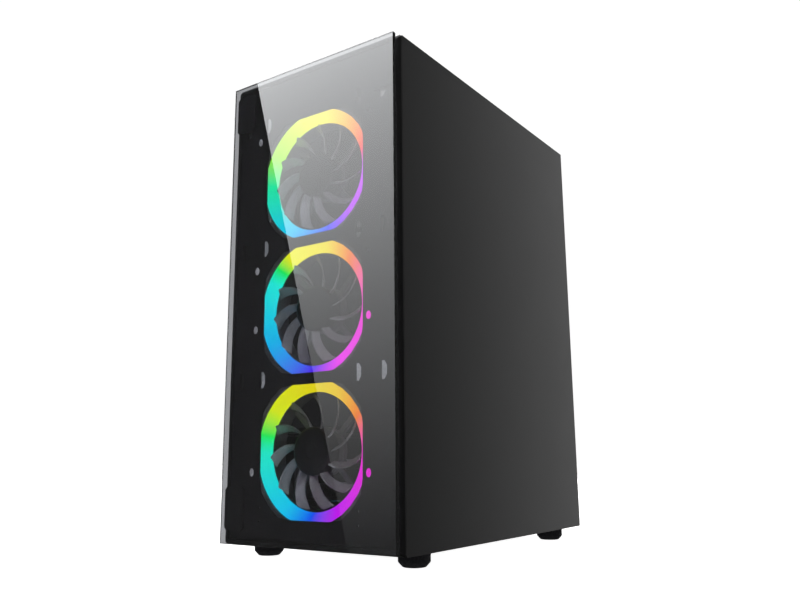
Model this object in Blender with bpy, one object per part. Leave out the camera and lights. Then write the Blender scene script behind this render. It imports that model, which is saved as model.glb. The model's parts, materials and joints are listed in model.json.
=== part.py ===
"""Desktop computer tower: steel chassis, glass front and door, fans, board and drives.

Frame: X to the right, Y to the rear, Z up, origin at the middle of the box's bottom.
Sizes are given in millimetres and every mesh is scaled to metres as it is made.
"""

from math import cos, pi, radians, sin

import bmesh
import bpy
from mathutils import Matrix, Vector

MM = 0.001

# ---------------------------------------------------------------- driving dimensions

CASE_W = 190.0
CASE_D = 350.0
CASE_H = 439.5
GAP = 0.3
SHEET = 1.0

FRONT = -CASE_D / 2
REAR = FRONT + 345.7
RIGHT = CASE_W / 2
LEFT = -CASE_W / 2

FOOT_H = 11.7
FOOT_R = 13.3
FOOT_CHAMFER = 4.0
FOOT_X = 79.0
FOOT_Y = (FRONT + 46, FRONT + 301)

BASE_Z = FOOT_H + GAP
PANEL_Z = 11.0
SHELL_Y = FRONT + 12.5
SHELL_X = (LEFT + 4.5, RIGHT - 2.0)
SHELL_TOP = CASE_H - 1.5
STEP = 0.1
RAIL_X = 62.0
RAIL_Z = 8.6

GLASS_W = 189.0
GLASS_T = 3.8
GLASS_Z = (12.8, 437.8)
PAD_T = 2.2
PAD_SIZE = (22.0, 37.0)
PAD_X = 91.4
PAD_Z = (42.7, 409.8)
BEZEL_Y = (FRONT + 6.6, SHELL_Y - GAP)
BEZEL_FACE = (92.5, 13.3, 435.9)
BEZEL_BACK = (RIGHT, 11.3, CASE_H)
BEZEL_WALL = 3.4

PLATE_Y = FRONT + 8.2
PLATE_T = 0.8
FAN_SIZE = 120.0
FAN_DEPTH = 25.0
FAN_PITCH = 121.4
FAN_FRONT = PLATE_Y + PLATE_T + 0.4
FAN_X = 1.5
FAN_Z = tuple(90.6 + FAN_PITCH * i for i in range(3))
OPENING_X = 1.9
OPENING_HALF = 55.9
OPENING_R = 64.0
VENT_Z = (153.0, 273.0, 393.0)

RING_X = 2.3
RING_OUTER = 60.0
RING_FLAT = 58.8
RING_GAP = 0.35
RING_INNER = 49.6
RING_Y = (FAN_FRONT + 0.6, FAN_FRONT + 6.6)
RING_T = 2.0

HUB_R = 20.0
ROTOR_R = 48.0

TRAY_X = 83.0
BOARD_X = (75.0, 76.6)
BOARD_Y = (REAR - 248, REAR - 4)
BOARD_Z = (114.0, 418.0)
CPU_Y = REAR - 76
CPU_Z = 345.0
SLOT_Z = 236.0
SLOT_PITCH = 20.32
SLOT_COUNT = 7
IO_Z = (258.0, 417.0)
IO_X = (31.0, 75.0)
REAR_FAN = (-29.2, 350.0)

SHROUD_Z = 106.0
PSU_X = (-74.0, 76.0)
PSU_Z = (16.0, 102.0)
PSU_DEPTH = 140.0

HINGE_X = LEFT + 2.2
HINGE_Y = REAR - 6.0
DOOR_T = 4.0
KNUCKLE_Z = (70.0, 380.0)
KNUCKLE_H = 26.0

IO_Y = FRONT + 29
IO_BOARD_Z = 424.0
POWER_X = -56.0
RESET_X = -41.0
LIGHT_X = -31.0
USB_X = (-12.0, 8.0, 28.0)
AUDIO_X = (44.0, 55.0)


# ---------------------------------------------------------------- materials


def material(name, colour, roughness, metallic=0.0, alpha=1.0, glow=0.0):
    mat = bpy.data.materials.new(name)
    mat.use_nodes = True
    shader = mat.node_tree.nodes["Principled BSDF"]
    shader.inputs["Base Color"].default_value = (*colour, 1.0)
    shader.inputs["Roughness"].default_value = roughness
    shader.inputs["Metallic"].default_value = metallic
    shader.inputs["Alpha"].default_value = alpha
    shader.inputs["Emission Color"].default_value = (*colour, 1.0)
    shader.inputs["Emission Strength"].default_value = glow
    mat.diffuse_color = (*colour, alpha)
    return mat


def make_materials():
    return {
        "painted_steel": material("painted_steel", (0.022, 0.022, 0.024), 0.45, 0.2),
        "tinted_glass": material("tinted_glass", (0.03, 0.03, 0.035), 0.05, 0.0, 0.35),
        "black_plastic": material("black_plastic", (0.012, 0.012, 0.013), 0.5),
        "button_plastic": material("button_plastic", (0.03, 0.03, 0.032), 0.35),
        "rubber": material("rubber", (0.01, 0.01, 0.01), 0.8),
        "frosted_plastic": material("frosted_plastic", (0.45, 0.46, 0.48), 0.5),
        "light_ring": material("light_ring", (0.9, 0.92, 0.95), 0.4, 0.0, 1.0, 2.0),
        "blade_plastic": material("blade_plastic", (0.25, 0.26, 0.28), 0.25),
        "zinc_steel": material("zinc_steel", (0.55, 0.56, 0.58), 0.35, 1.0),
        "aluminium": material("aluminium", (0.75, 0.76, 0.78), 0.3, 1.0),
        "circuit_board": material("circuit_board", (0.01, 0.035, 0.02), 0.45),
        "filter_mesh": material("filter_mesh", (0.02, 0.02, 0.02), 0.7),
        "rocker_plastic": material("rocker_plastic", (0.012, 0.012, 0.013), 0.3),
    }


# ---------------------------------------------------------------- mesh helpers


def finish_mesh(name, bm, mat, origin=(0, 0, 0), smooth_angle=None):
    """Turn a bmesh built in millimetres into an object whose origin is the given point."""
    bmesh.ops.recalc_face_normals(bm, faces=bm.faces)
    bmesh.ops.transform(bm, matrix=Matrix.Scale(MM, 4) @ Matrix.Translation(-Vector(origin)),
                        verts=bm.verts)
    mesh = bpy.data.meshes.new(name)
    bm.to_mesh(mesh)
    bm.free()
    if smooth_angle is not None:
        mesh.shade_smooth()
        mesh.set_sharp_from_angle(angle=radians(smooth_angle))
    mesh.materials.append(mat)
    obj = bpy.data.objects.new(name, mesh)
    obj.location = Vector(origin) * MM
    bpy.context.scene.collection.objects.link(obj)
    return obj


def box(name, xs, ys, zs, mat, chamfer=0.0, origin=(0, 0, 0)):
    bm = bmesh.new()
    bmesh.ops.create_cube(bm, size=1.0)
    size = Vector((xs[1] - xs[0], ys[1] - ys[0], zs[1] - zs[0]))
    centre = Vector((xs[0] + xs[1], ys[0] + ys[1], zs[0] + zs[1])) / 2
    bmesh.ops.scale(bm, vec=size, verts=bm.verts)
    bmesh.ops.translate(bm, vec=centre, verts=bm.verts)
    if chamfer:
        bmesh.ops.bevel(bm, geom=bm.edges[:], offset=chamfer, segments=1, affect="EDGES")
    return finish_mesh(name, bm, mat, origin)


def rectangle(u0, u1, v0, v1, cut=0.0):
    """Corner points of a rectangle, its corners cut off at 45 degrees when cut is given."""
    if not cut:
        return [(u0, v0), (u1, v0), (u1, v1), (u0, v1)]
    return [(u0 + cut, v0), (u1 - cut, v0), (u1, v0 + cut), (u1, v1 - cut),
            (u1 - cut, v1), (u0 + cut, v1), (u0, v1 - cut), (u0, v0 + cut)]


def circle(cu, cv, radius, count=12):
    return [(cu + radius * cos(2 * pi * i / count), cv + radius * sin(2 * pi * i / count))
            for i in range(count)]


def clipped_circle(cu, cv, radius, half, count=28):
    """A circle whose four sides are flattened where it leaves a square."""
    points = []
    for i in range(count):
        angle = 2 * pi * (i + 0.5) / count
        u = max(-half, min(half, radius * cos(angle)))
        v = max(-half, min(half, radius * sin(angle)))
        points.append((cu + u, cv + v))
    return points


def prism(bm, axis, outline, low, high):
    """Add a straight prism along the given axis, from its outline as 2-D points."""
    ends = []
    for level in (low, high):
        loop = []
        for point in outline:
            values = list(point)
            values.insert(axis, level)
            loop.append(bm.verts.new(values))
        ends.append(loop)
    bm.faces.new(ends[0])
    bm.faces.new(list(reversed(ends[1])))
    for i in range(len(outline)):
        j = (i + 1) % len(outline)
        bm.faces.new((ends[0][i], ends[0][j], ends[1][j], ends[1][i]))


def sheet(name, plane, offset, thickness, outline, holes, mat, origin=(0, 0, 0)):
    """A flat sheet across X, Y or Z, from its outline and its holes as lists of 2-D points."""
    axis = "XYZ".index(plane)
    bm = bmesh.new()
    prism(bm, axis, outline, offset, offset + thickness)
    plate = finish_mesh(name, bm, mat, origin)
    if holes:
        bm = bmesh.new()
        for hole in holes:
            prism(bm, axis, hole, offset - 1, offset + thickness + 1)
        combine(plate, [finish_mesh("holes", bm, mat)], "DIFFERENCE")
    return plate


def ring_loft(name, rings, mat, origin=(0, 0, 0), smooth_angle=30):
    """Join closed rings of points in order, and the last one back to the first."""
    bm = bmesh.new()
    loops = [[bm.verts.new(p) for p in ring] for ring in rings]
    for first, second in zip(loops, loops[1:] + loops[:1]):
        for i in range(len(first)):
            j = (i + 1) % len(first)
            bm.faces.new((first[i], first[j], second[j], second[i]))
    return finish_mesh(name, bm, mat, origin, smooth_angle)


def turned(name, profile, centre, axis, mat, count=24, smooth_angle=35):
    """Turn a profile of (radius, level) pairs about X, Y or Z.

    A solid's profile starts and ends at radius 0; a tube's ends with its first pair again.
    """
    bm = bmesh.new()
    index = "XYZ".index(axis)
    loops = []
    for radius, level in profile:
        if radius == 0:
            point = list(centre)
            point[index] += level
            loops.append([bm.verts.new(point)])
            continue
        loop = []
        for i in range(count):
            angle = 2 * pi * i / count
            values = [radius * cos(angle), radius * sin(angle)]
            values.insert(index, level)
            loop.append(bm.verts.new([c + v for c, v in zip(centre, values)]))
        loops.append(loop)
    if profile[0] == profile[-1]:
        bmesh.ops.delete(bm, geom=loops[-1], context="VERTS")
        loops[-1] = loops[0]
    for first, second in zip(loops, loops[1:]):
        for i in range(count):
            j = (i + 1) % count
            if len(first) == 1:
                bm.faces.new((first[0], second[j], second[i]))
            elif len(second) == 1:
                bm.faces.new((first[i], first[j], second[0]))
            else:
                bm.faces.new((first[i], first[j], second[j], second[i]))
    return finish_mesh(name, bm, mat, centre, smooth_angle)


def combine(base, others, operation="UNION"):
    """Join or cut solids for good, keeping the first one's name, material and origin."""
    for other in others:
        modifier = base.modifiers.new("combine", "BOOLEAN")
        modifier.operation = operation
        modifier.solver = "EXACT"
        modifier.object = other
    bpy.context.view_layer.update()
    evaluated = base.evaluated_get(bpy.context.evaluated_depsgraph_get())
    mesh = bpy.data.meshes.new_from_object(evaluated)
    base.modifiers.clear()
    mat = base.data.materials[0]
    base.data = mesh
    mesh.materials.clear()
    mesh.materials.append(mat)
    mesh.polygons.foreach_set("material_index", [0] * len(mesh.polygons))
    for other in others:
        bpy.data.objects.remove(other)
    bm = bmesh.new()
    bm.from_mesh(mesh)
    bmesh.ops.remove_doubles(bm, verts=bm.verts, dist=0.002 * MM)
    bmesh.ops.dissolve_degenerate(bm, edges=bm.edges, dist=0.002 * MM)
    bm.to_mesh(mesh)
    bm.free()
    return base


# ---------------------------------------------------------------- chassis


def make_feet(mats):
    profile = [(0, 0), (FOOT_R - FOOT_CHAMFER, 0), (FOOT_R, FOOT_CHAMFER), (FOOT_R, FOOT_H),
               (0, FOOT_H)]
    places = {"foot_front_left": (-FOOT_X, FOOT_Y[0]), "foot_front_right": (FOOT_X, FOOT_Y[0]),
              "foot_rear_left": (-FOOT_X, FOOT_Y[1]), "foot_rear_right": (FOOT_X, FOOT_Y[1])}
    for name, (x, y) in places.items():
        turned(name, profile, (x, y, 0), "Z", mats["rubber"], count=20)


def side_flanges(y0, y1, z0, z1, mat):
    """The bent edges of the base or the top, set in a little from the sheet's own faces."""
    return [box("flange", (SHELL_X[0] + STEP, SHELL_X[0] + SHEET), (y0 + STEP, y1 - STEP),
                (z0, z1), mat),
            box("flange", (SHELL_X[1] - SHEET, SHELL_X[1] - STEP), (y0 + STEP, y1 - STEP),
                (z0, z1), mat)]


def make_base(mats):
    steel = mats["painted_steel"]
    y0, y1 = SHELL_Y + SHEET + GAP, REAR - SHEET - GAP
    vent_y = REAR - 75
    vents = []
    for row in range(9):
        y = vent_y + 12 * (row - 4)
        half = (56 ** 2 - (12 * (row - 4)) ** 2) ** 0.5
        vents.append(rectangle(-half, -2.5, y - 3.5, y + 3.5))
        vents.append(rectangle(2.5, half, y - 3.5, y + 3.5))
    base = sheet("chassis_base", "Z", BASE_Z, SHEET, rectangle(*SHELL_X, y0, y1), vents, steel)
    flange = 10.0
    sides = side_flanges(y0, y1, BASE_Z + SHEET / 2, BASE_Z + flange, steel)
    for sign in (-1, 1):
        wall = sorted((sign * RAIL_X, sign * (RAIL_X + 1.2)))
        lip = sorted((sign * (RAIL_X - 2), sign * (RAIL_X + 1)))
        y_range = (REAR - 145, y1 - STEP)
        sides.append(box("rail", wall, y_range, (RAIL_Z, BASE_Z + SHEET / 2), steel))
        sides.append(box("lip", lip, (y_range[0] + STEP, y_range[1] - STEP),
                         (RAIL_Z + STEP, RAIL_Z + 0.8), steel))
    return combine(base, sides)


def make_front_plate(mats):
    """Pierced steel front: a raised face with three fan openings and an outer flange."""
    steel = mats["painted_steel"]
    face_x = BEZEL_FACE[0] - BEZEL_WALL - 0.5
    face_z = (BEZEL_FACE[1] + BEZEL_WALL + 0.5, BEZEL_FACE[2] - BEZEL_WALL - 0.5)
    holes = [clipped_circle(OPENING_X, z, OPENING_R, OPENING_HALF) for z in FAN_Z]
    for side in (-1, 1):
        for level in VENT_Z:
            for x in (side * 53.4, side * 79.1):
                holes.append([(x - 2.8, level - 7.5), (x + 0.4, level - 7.5),
                              (x + 2.8, level - 3.5), (x + 2.8, level + 3.5),
                              (x + 0.4, level + 7.5), (x - 2.8, level + 7.5)])
        holes += [circle(side * 63.5, level, 2.3, 8) for level in (73.4, 198.5, 253.0, 378.2)]
        holes += [circle(side * 53.5, level, 1.2, 6) for level in (33.0, 44.0)]
    face = sheet("chassis_front", "Y", PLATE_Y, PLATE_T,
                 rectangle(-face_x, face_x, *face_z), holes, steel)
    wall_y = PLATE_Y + PLATE_T / 2
    wall = sheet("wall", "Y", wall_y, SHELL_Y + PLATE_T - STEP - wall_y,
                 rectangle(-face_x + STEP, face_x - STEP, face_z[0] + STEP, face_z[1] - STEP),
                 [rectangle(-face_x + PLATE_T, face_x - PLATE_T,
                            face_z[0] + PLATE_T, face_z[1] - PLATE_T)], steel)
    inset = PLATE_T / 2
    flange = sheet("flange", "Y", SHELL_Y, PLATE_T,
                   rectangle(*SHELL_X, BASE_Z, SHELL_TOP),
                   [rectangle(-face_x + inset, face_x - inset,
                              face_z[0] + inset, face_z[1] - inset)], steel)
    return combine(face, [wall, flange])


def make_top(mats):
    steel = mats["painted_steel"]
    y0, y1 = SHELL_Y + SHEET + GAP, REAR - SHEET - GAP
    holes = [rectangle(-70, 70, FRONT + 20, FRONT + 38)]
    for row in range(12):
        y = FRONT + 90 + 19 * row
        holes.append(rectangle(-62, -3, y - 5.5, y + 5.5))
        holes.append(rectangle(3, 62, y - 5.5, y + 5.5))
    top = sheet("chassis_top", "Z", SHELL_TOP - SHEET, SHEET, rectangle(*SHELL_X, y0, y1),
                holes, steel)
    drop = 10.0
    return combine(top, side_flanges(y0, y1, SHELL_TOP - drop, SHELL_TOP - SHEET / 2, steel))


def make_rear(mats):
    """Rear wall with the fan grille, board window, punched slots and power supply window."""
    steel = mats["painted_steel"]
    fan_x, fan_z = REAR_FAN
    holes = []
    ring_edges = [(18, 34), (38, 55)]
    for inner, outer in ring_edges:
        for quarter in range(4):
            start = quarter * pi / 2 + 2.2 / inner
            stop = (quarter + 1) * pi / 2 - 2.2 / inner
            steps = 4
            arc = [start + (stop - start) * i / steps for i in range(steps + 1)]
            holes.append([(fan_x + outer * cos(a), fan_z + outer * sin(a)) for a in arc]
                         + [(fan_x + inner * cos(a), fan_z + inner * sin(a))
                            for a in reversed(arc)])
    holes.append(rectangle(IO_X[0] + 1, IO_X[1] - 0.5, *IO_Z))
    for slot in range(SLOT_COUNT):
        z = SLOT_Z - SLOT_PITCH * slot
        if slot < 2:
            holes.append(rectangle(-36, 72, z - 6.0, z + 6.0))
        else:
            holes += [rectangle(-33 + 53 * k, 14 + 53 * k, z - 3, z + 3) for k in range(2)]
    holes.append(rectangle(PSU_X[0] + 4, PSU_X[1] - 4, PSU_Z[0] + 4, PSU_Z[1] - 4))
    return sheet("chassis_rear", "Y", REAR - SHEET, SHEET,
                 rectangle(*SHELL_X, BASE_Z, SHELL_TOP), holes, steel)


def make_tray(mats):
    """Upright plate behind the board, with cable openings and a window behind the cooler."""
    steel = mats["painted_steel"]
    y0, y1 = FRONT + 50, REAR - SHEET - GAP
    holes = [rectangle(CPU_Y - 45, CPU_Y + 35, CPU_Z - 45, CPU_Z + 45)]
    for z in (150, 240, 330):
        holes.append(rectangle(FRONT + 62, FRONT + 84, z, z + 55))
    holes.append(rectangle(FRONT + 110, FRONT + 180, 60, 95))
    return sheet("motherboard_tray", "X", TRAY_X, SHEET,
                 rectangle(y0, y1, BASE_Z + SHEET + GAP, SHELL_TOP - SHEET - GAP), holes, steel)


def make_shroud(mats):
    """Cover over the power supply and drive cage, open towards the tray side."""
    steel = mats["painted_steel"]
    y0, y1 = FRONT + 50, REAR - SHEET - GAP
    x0, x1 = SHELL_X[0] + SHEET + GAP, TRAY_X - GAP
    holes = []
    for row in range(6):
        y = FRONT + 215 + 20 * row
        holes.append(rectangle(-60, -5, y - 4, y + 4))
        holes.append(rectangle(5, 60, y - 4, y + 4))
    holes.append(rectangle(x1 - 26, x1 - 8, FRONT + 90, FRONT + 150))
    cover = sheet("psu_shroud", "Z", SHROUD_Z, SHEET, rectangle(x0, x1, y0, y1), holes, steel)
    wall = box("wall", (x0, x0 + SHEET), (y0, y1), (BASE_Z + SHEET + GAP, SHROUD_Z + SHEET / 2),
               steel)
    return combine(cover, [wall])


def make_drive_cage(mats):
    """Open steel box holding one 3.5 inch drive on its lower shelf."""
    steel = mats["zinc_steel"]
    x_half = 53.5
    y0, y1 = FRONT + 52, FRONT + 196
    z0, z1 = BASE_Z + SHEET + GAP, 84.0
    cage = box("drive_cage", (-x_half, x_half), (y0, y1), (z0, z1), steel)
    cuts = [box("bay", (-x_half + SHEET, x_half - SHEET), (y0 - 1, y1 + 1),
                (z0 + SHEET, 48.0), steel),
            box("bay", (-x_half + SHEET, x_half - SHEET), (y0 - 1, y1 + 1),
                (49.0, z1 - SHEET), steel)]
    for z in (26.0, 62.0):
        cuts.append(box("window", (-x_half - 1, x_half + 1), (y0 + 25, y1 - 25),
                        (z, z + 12), steel))
    combine(cage, cuts, "DIFFERENCE")
    drive = box("hard_drive", (-50.8, 50.8), (y0 + 2, y0 + 2 + 138), (z0 + SHEET + 1, 41.5),
                mats["aluminium"], 1.0)
    cover = box("cover", (-46, 46), (y0 + 10, y0 + 125), (41.0, 42.6), mats["aluminium"], 0.6)
    combine(drive, [cover])
    ssd_z = SHROUD_Z + SHEET + GAP
    return box("solid_state_drive", (-66, 4), (FRONT + 70, FRONT + 170), (ssd_z, ssd_z + 7),
               mats["black_plastic"], 0.8)


# ---------------------------------------------------------------- front panel


def make_front_panel(mats):
    half, low, high = BEZEL_FACE
    back_half, back_low, back_high = BEZEL_BACK
    wall = BEZEL_WALL

    def frame(x, z0, z1, y, cut=1.2):
        return [(u, y, v) for u, v in rectangle(-x, x, z0, z1, cut)]

    inner = (half - wall, low + wall, high - wall)
    ring_loft("front_bezel", [
        frame(half - 0.6, low + 0.6, high - 0.6, BEZEL_Y[0]),
        frame(half, low, high, BEZEL_Y[0] + 0.6),
        frame(back_half, back_low, back_high, BEZEL_Y[1] - 1.2),
        frame(back_half, back_low, back_high, BEZEL_Y[1]),
        frame(*inner, BEZEL_Y[1], 0.4),
        frame(*inner, BEZEL_Y[0], 0.4),
    ], mats["black_plastic"])
    box("front_glass", (-GLASS_W / 2, GLASS_W / 2), (FRONT, FRONT + GLASS_T), GLASS_Z,
        mats["tinted_glass"], 0.5)
    pad_y = FRONT + GLASS_T + GAP
    width, height = PAD_SIZE
    for side, x0 in (("left", -PAD_X), ("right", PAD_X - width)):
        for level, z in zip(("lower", "upper"), PAD_Z):
            sheet(f"glass_pad_{level}_{side}", "Y", pad_y, PAD_T,
                  rectangle(x0, x0 + width, z - height / 2, z + height / 2, 2.5), [],
                  mats["rubber"])


# ---------------------------------------------------------------- fans


def square_ring(half, cut, x, z, y, count):
    """Points round a cut-cornered square, one for each equal step of angle."""
    points = []
    for i in range(count):
        angle = 2 * pi * i / count
        c, s = cos(angle), sin(angle)
        reach = half / max(abs(c), abs(s))
        diagonal = (2 * half - cut) / (abs(c) + abs(s))
        radius = min(reach, diagonal)
        points.append((x + radius * c, y, z + radius * s))
    return points


def round_ring(radius, x, z, y, count):
    return [(x + radius * cos(2 * pi * i / count), y, z + radius * sin(2 * pi * i / count))
            for i in range(count)]


def flattened_ring(radius, flat, x, z, y, count, shift=0.0):
    """Points round a circle, set to one side, whose four sides are flattened."""
    points = []
    for px, py, pz in round_ring(radius, shift, 0, y, count):
        points.append((x + max(-flat, min(flat, px)), py, z + max(-flat, min(flat, pz))))
    return points


def fan_frame(name, x, z, y0, bore, recess, mat, count=32):
    """Square fan housing with its bore and a motor mount on four arms."""
    y1 = y0 + FAN_DEPTH
    half = FAN_SIZE / 2 - 0.1
    rings = [square_ring(half, 4, x, z, y0, count), square_ring(half, 4, x, z, y1, count),
             round_ring(bore, x, z, y1, count)]
    if recess:
        lip, flat = RING_OUTER + RING_GAP, RING_FLAT + RING_GAP
        rings += [round_ring(bore, x, z, RING_Y[1] + RING_T + 0.5, count),
                  flattened_ring(lip, flat, x, z, RING_Y[0] + RING_T + 0.5, count,
                                 RING_X - FAN_X),
                  flattened_ring(lip, flat, x, z, y0, count, RING_X - FAN_X)]
    else:
        rings.append(round_ring(bore, x, z, y0, count))
    frame = ring_loft(name, rings, mat)
    arms = []
    for k in range(4):
        angle = pi / 4 + k * pi / 2
        bm = bmesh.new()
        bmesh.ops.create_cube(bm, size=1.0)
        reach = bore + 2.5 - 16
        bmesh.ops.scale(bm, vec=(reach, 3.4, 5.0), verts=bm.verts)
        bmesh.ops.translate(bm, vec=(16 + reach / 2, 0, 0), verts=bm.verts)
        bmesh.ops.rotate(bm, matrix=Matrix.Rotation(-angle, 3, "Y"), verts=bm.verts)
        bmesh.ops.translate(bm, vec=(x, y1 - 1.9, z), verts=bm.verts)
        arms.append(finish_mesh("arm", bm, mat))
    mount = turned("mount", [(2.6, 0), (20.5, 0), (20.5, 4.4), (2.6, 4.4), (2.6, 0)],
                   (x, y1 - 4.6, z), "Y", mat, count=20)
    return combine(frame, arms + [mount])


def fan_rotor(name, centre, turn, tip, hub, blades, depth, mat, steps=4, shaft=6.0, lean=-20.0):
    """Hub, swept blades and shaft in one piece, facing local +Z, with its origin on its axis.

    Each blade is a thin quad of the hub's wall, carried outwards ring by ring while it
    sweeps anticlockwise. lean is how far its rear edge turns about the axis, in degrees.
    """
    pitch = 2 * pi / blades
    top, bottom = depth / 2, -depth / 2
    blade_top = top - 2.2
    blade_bottom = blade_top - 0.48 * depth
    root_twist = radians(lean)

    def ring(bm, radius, level, twist):
        verts = []
        half = 0.85 / radius
        for b in range(blades):
            start = b * pitch + twist
            gap = pitch - 2 * half
            for angle in (start - half, start + half, start + half + gap / 2):
                verts.append(bm.verts.new((radius * cos(angle), radius * sin(angle), level)))
        return verts

    def quad(bm, radius, sweep, twist):
        half = 0.75 / radius
        middle = sweep
        corners = []
        for angle, level in ((middle - half, blade_top), (middle + half, blade_top),
                             (middle + twist + half, blade_bottom),
                             (middle + twist - half, blade_bottom)):
            corners.append(bm.verts.new((radius * cos(angle), radius * sin(angle), level)))
        return corners

    bm = bmesh.new()
    rings = [ring(bm, hub - 1.2, top, 0), ring(bm, hub, top - 1.2, 0),
             ring(bm, hub, blade_top, 0), ring(bm, hub, blade_bottom, root_twist),
             ring(bm, hub, bottom, root_twist)]
    count = len(rings[0])
    bm.faces.new(rings[0])
    for level, (upper, lower) in enumerate(zip(rings, rings[1:])):
        for i in range(count):
            j = (i + 1) % count
            if level == 2 and i % 3 == 0:
                continue
            bm.faces.new((upper[i], lower[i], lower[j], upper[j]))
    shaft_ring = [bm.verts.new((2 * cos(2 * pi * i / 8), 2 * sin(2 * pi * i / 8), bottom))
                  for i in range(8)]
    shaft_end = [bm.verts.new((v.co.x, v.co.y, bottom - shaft)) for v in shaft_ring]
    bm.faces.new(list(reversed(shaft_end)))
    for i in range(8):
        j = (i + 1) % 8
        bm.faces.new((shaft_ring[i], shaft_end[i], shaft_end[j], shaft_ring[j]))
    edges = []
    for loop in (rings[-1], shaft_ring):
        for i in range(len(loop)):
            pair = (loop[i], loop[(i + 1) % len(loop)])
            edges.append(bm.edges.get(pair) or bm.edges.new(pair))
    bmesh.ops.triangle_fill(bm, edges=edges, use_beauty=True)
    for b in range(blades):
        base = 3 * b
        previous = [rings[2][base], rings[2][base + 1], rings[3][base + 1], rings[3][base]]
        for step in range(1, steps + 1):
            share = step / steps
            radius = hub + (tip - hub) * share
            sweep = b * pitch + radians(16) * share ** 1.3
            twist = root_twist * (1 + 0.15 * share)
            corners = quad(bm, radius, sweep, twist)
            for i, j in ((0, 1), (2, 3)):
                bm.faces.new((previous[i], previous[j], corners[j], corners[i]))
            # both broad sides are split from inner top to outer bottom, so they stay parallel
            for high, low in ((1, 2), (0, 3)):
                bm.faces.new((previous[high], previous[low], corners[low]))
                bm.faces.new((previous[high], corners[low], corners[high]))
            previous = corners
        bm.faces.new(previous)
    rotor = finish_mesh(name, bm, mat, (0, 0, 0), 35)
    rotor.location = Vector(centre) * MM
    rotor.rotation_euler = turn
    return rotor


FACING_FRONT = (pi / 2, 0, 0)
FACING_DOWN = (pi, 0, 0)


def make_front_fans(mats):
    hub_depth = 13.5
    hub_y = FAN_FRONT + 1.5 + hub_depth / 2
    for name, z in zip(("lower", "middle", "upper"), FAN_Z):
        fan_frame(f"fan_frame_{name}", FAN_X, z, FAN_FRONT, RING_INNER + 0.6, True,
                  mats["frosted_plastic"])
        front, back = RING_Y
        ring_loft(f"light_ring_{name}",
                  [flattened_ring(RING_OUTER, RING_FLAT, FAN_X, z, front, 32, RING_X - FAN_X),
                   flattened_ring(RING_OUTER, RING_FLAT, FAN_X, z, front + RING_T, 32,
                                  RING_X - FAN_X),
                   round_ring(RING_INNER, FAN_X, z, back + RING_T, 32),
                   round_ring(RING_INNER, FAN_X, z, back, 32)],
                  mats["light_ring"])
        fan_rotor(f"fan_rotor_{name}", (FAN_X, hub_y, z), FACING_FRONT, ROTOR_R, HUB_R, 11,
                  hub_depth, mats["blade_plastic"], steps=3, shaft=9.5, lean=20.0)


def make_rear_fan(mats):
    x, z = REAR_FAN
    y0 = REAR - SHEET - GAP - FAN_DEPTH
    fan_frame("rear_fan_frame", x, z, y0, 57.0, False, mats["black_plastic"])
    fan_rotor("rear_fan_rotor", (x, y0 + 11, z), FACING_FRONT, 55.0, HUB_R, 7, 15.0,
              mats["black_plastic"], steps=3)


# ---------------------------------------------------------------- board and cards


def make_board(mats):
    """Main board: one solid of the circuit board, its sockets, slots, ports and stand-offs."""
    board_mat = mats["circuit_board"]
    board = box("motherboard", BOARD_X, BOARD_Y, BOARD_Z, board_mat)
    face = BOARD_X[0]

    def raised(name, ys, zs, height):
        return box(name, (face - height, face + 0.5), ys, zs, board_mat)

    parts = [raised("socket", (CPU_Y - 22, CPU_Y + 22), (CPU_Z - 22, CPU_Z + 22), 4.5),
             raised("heat_spreader", (REAR - 138, REAR - 112), (150, 176), 5)]
    for index in range(4):
        y = CPU_Y - 90 + 9.5 * index
        parts.append(raised("memory_slot", (y - 3, y + 3), (CPU_Z - 68, CPU_Z + 66), 6))
    for slot in (0, 3, 5):
        z = SLOT_Z - SLOT_PITCH * slot
        parts.append(raised("card_slot", (REAR - 148, REAR - 58), (z - 8.5, z - 1.5), 7))
    parts.append(raised("power_socket", (BOARD_Y[0] + 3, BOARD_Y[0] + 12), (300, 352), 12))
    for z0, z1, height in ((266, 290, 38), (294, 318, 30), (322, 346, 30), (350, 366, 14),
                           (372, 410, 26)):
        parts.append(raised("rear_port", (REAR - 28, REAR - 4.5), (z0, z1), height))
    back = BOARD_X[1] - 0.5
    reach = TRAY_X - GAP - back
    for y in (BOARD_Y[0] + 8, BOARD_Y[0] + 120, BOARD_Y[1] - 12):
        for z in (BOARD_Z[0] + 10, BOARD_Z[0] + 150, BOARD_Z[1] - 8):
            parts.append(turned("stand_off", [(0, 0), (2.8, 0), (2.8, reach), (0, reach)],
                                (back, y, z), "X", board_mat, count=6))
    combine(board, parts)
    holes = []
    for z0, z1, height in ((266, 290, 38), (294, 318, 30), (322, 346, 30), (350, 366, 14),
                           (372, 410, 26)):
        holes.append(rectangle(face - height + 1.5, face - 1.5, z0 + 1.5, z1 - 1.5))
    sheet("io_shield", "Y", REAR - SHEET - GAP - 0.8, 0.5,
          rectangle(IO_X[0] + 0.2, IO_X[1] - 0.3, IO_Z[0] - 1, IO_Z[1] + 1), holes,
          mats["zinc_steel"])


def make_memory(mats):
    for name, index in (("memory_stick_near", 1), ("memory_stick_far", 3)):
        y = CPU_Y - 90 + 9.5 * index
        face = BOARD_X[0] - 6 - GAP
        stick = box(name, (face - 30, face), (y - 0.7, y + 0.7), (CPU_Z - 66, CPU_Z + 64),
                    mats["aluminium"])
        cover = box("cover", (face - 38, face - 5), (y - 3, y + 3), (CPU_Z - 67, CPU_Z + 65),
                    mats["aluminium"], 0.8)
        combine(stick, [cover])


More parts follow.
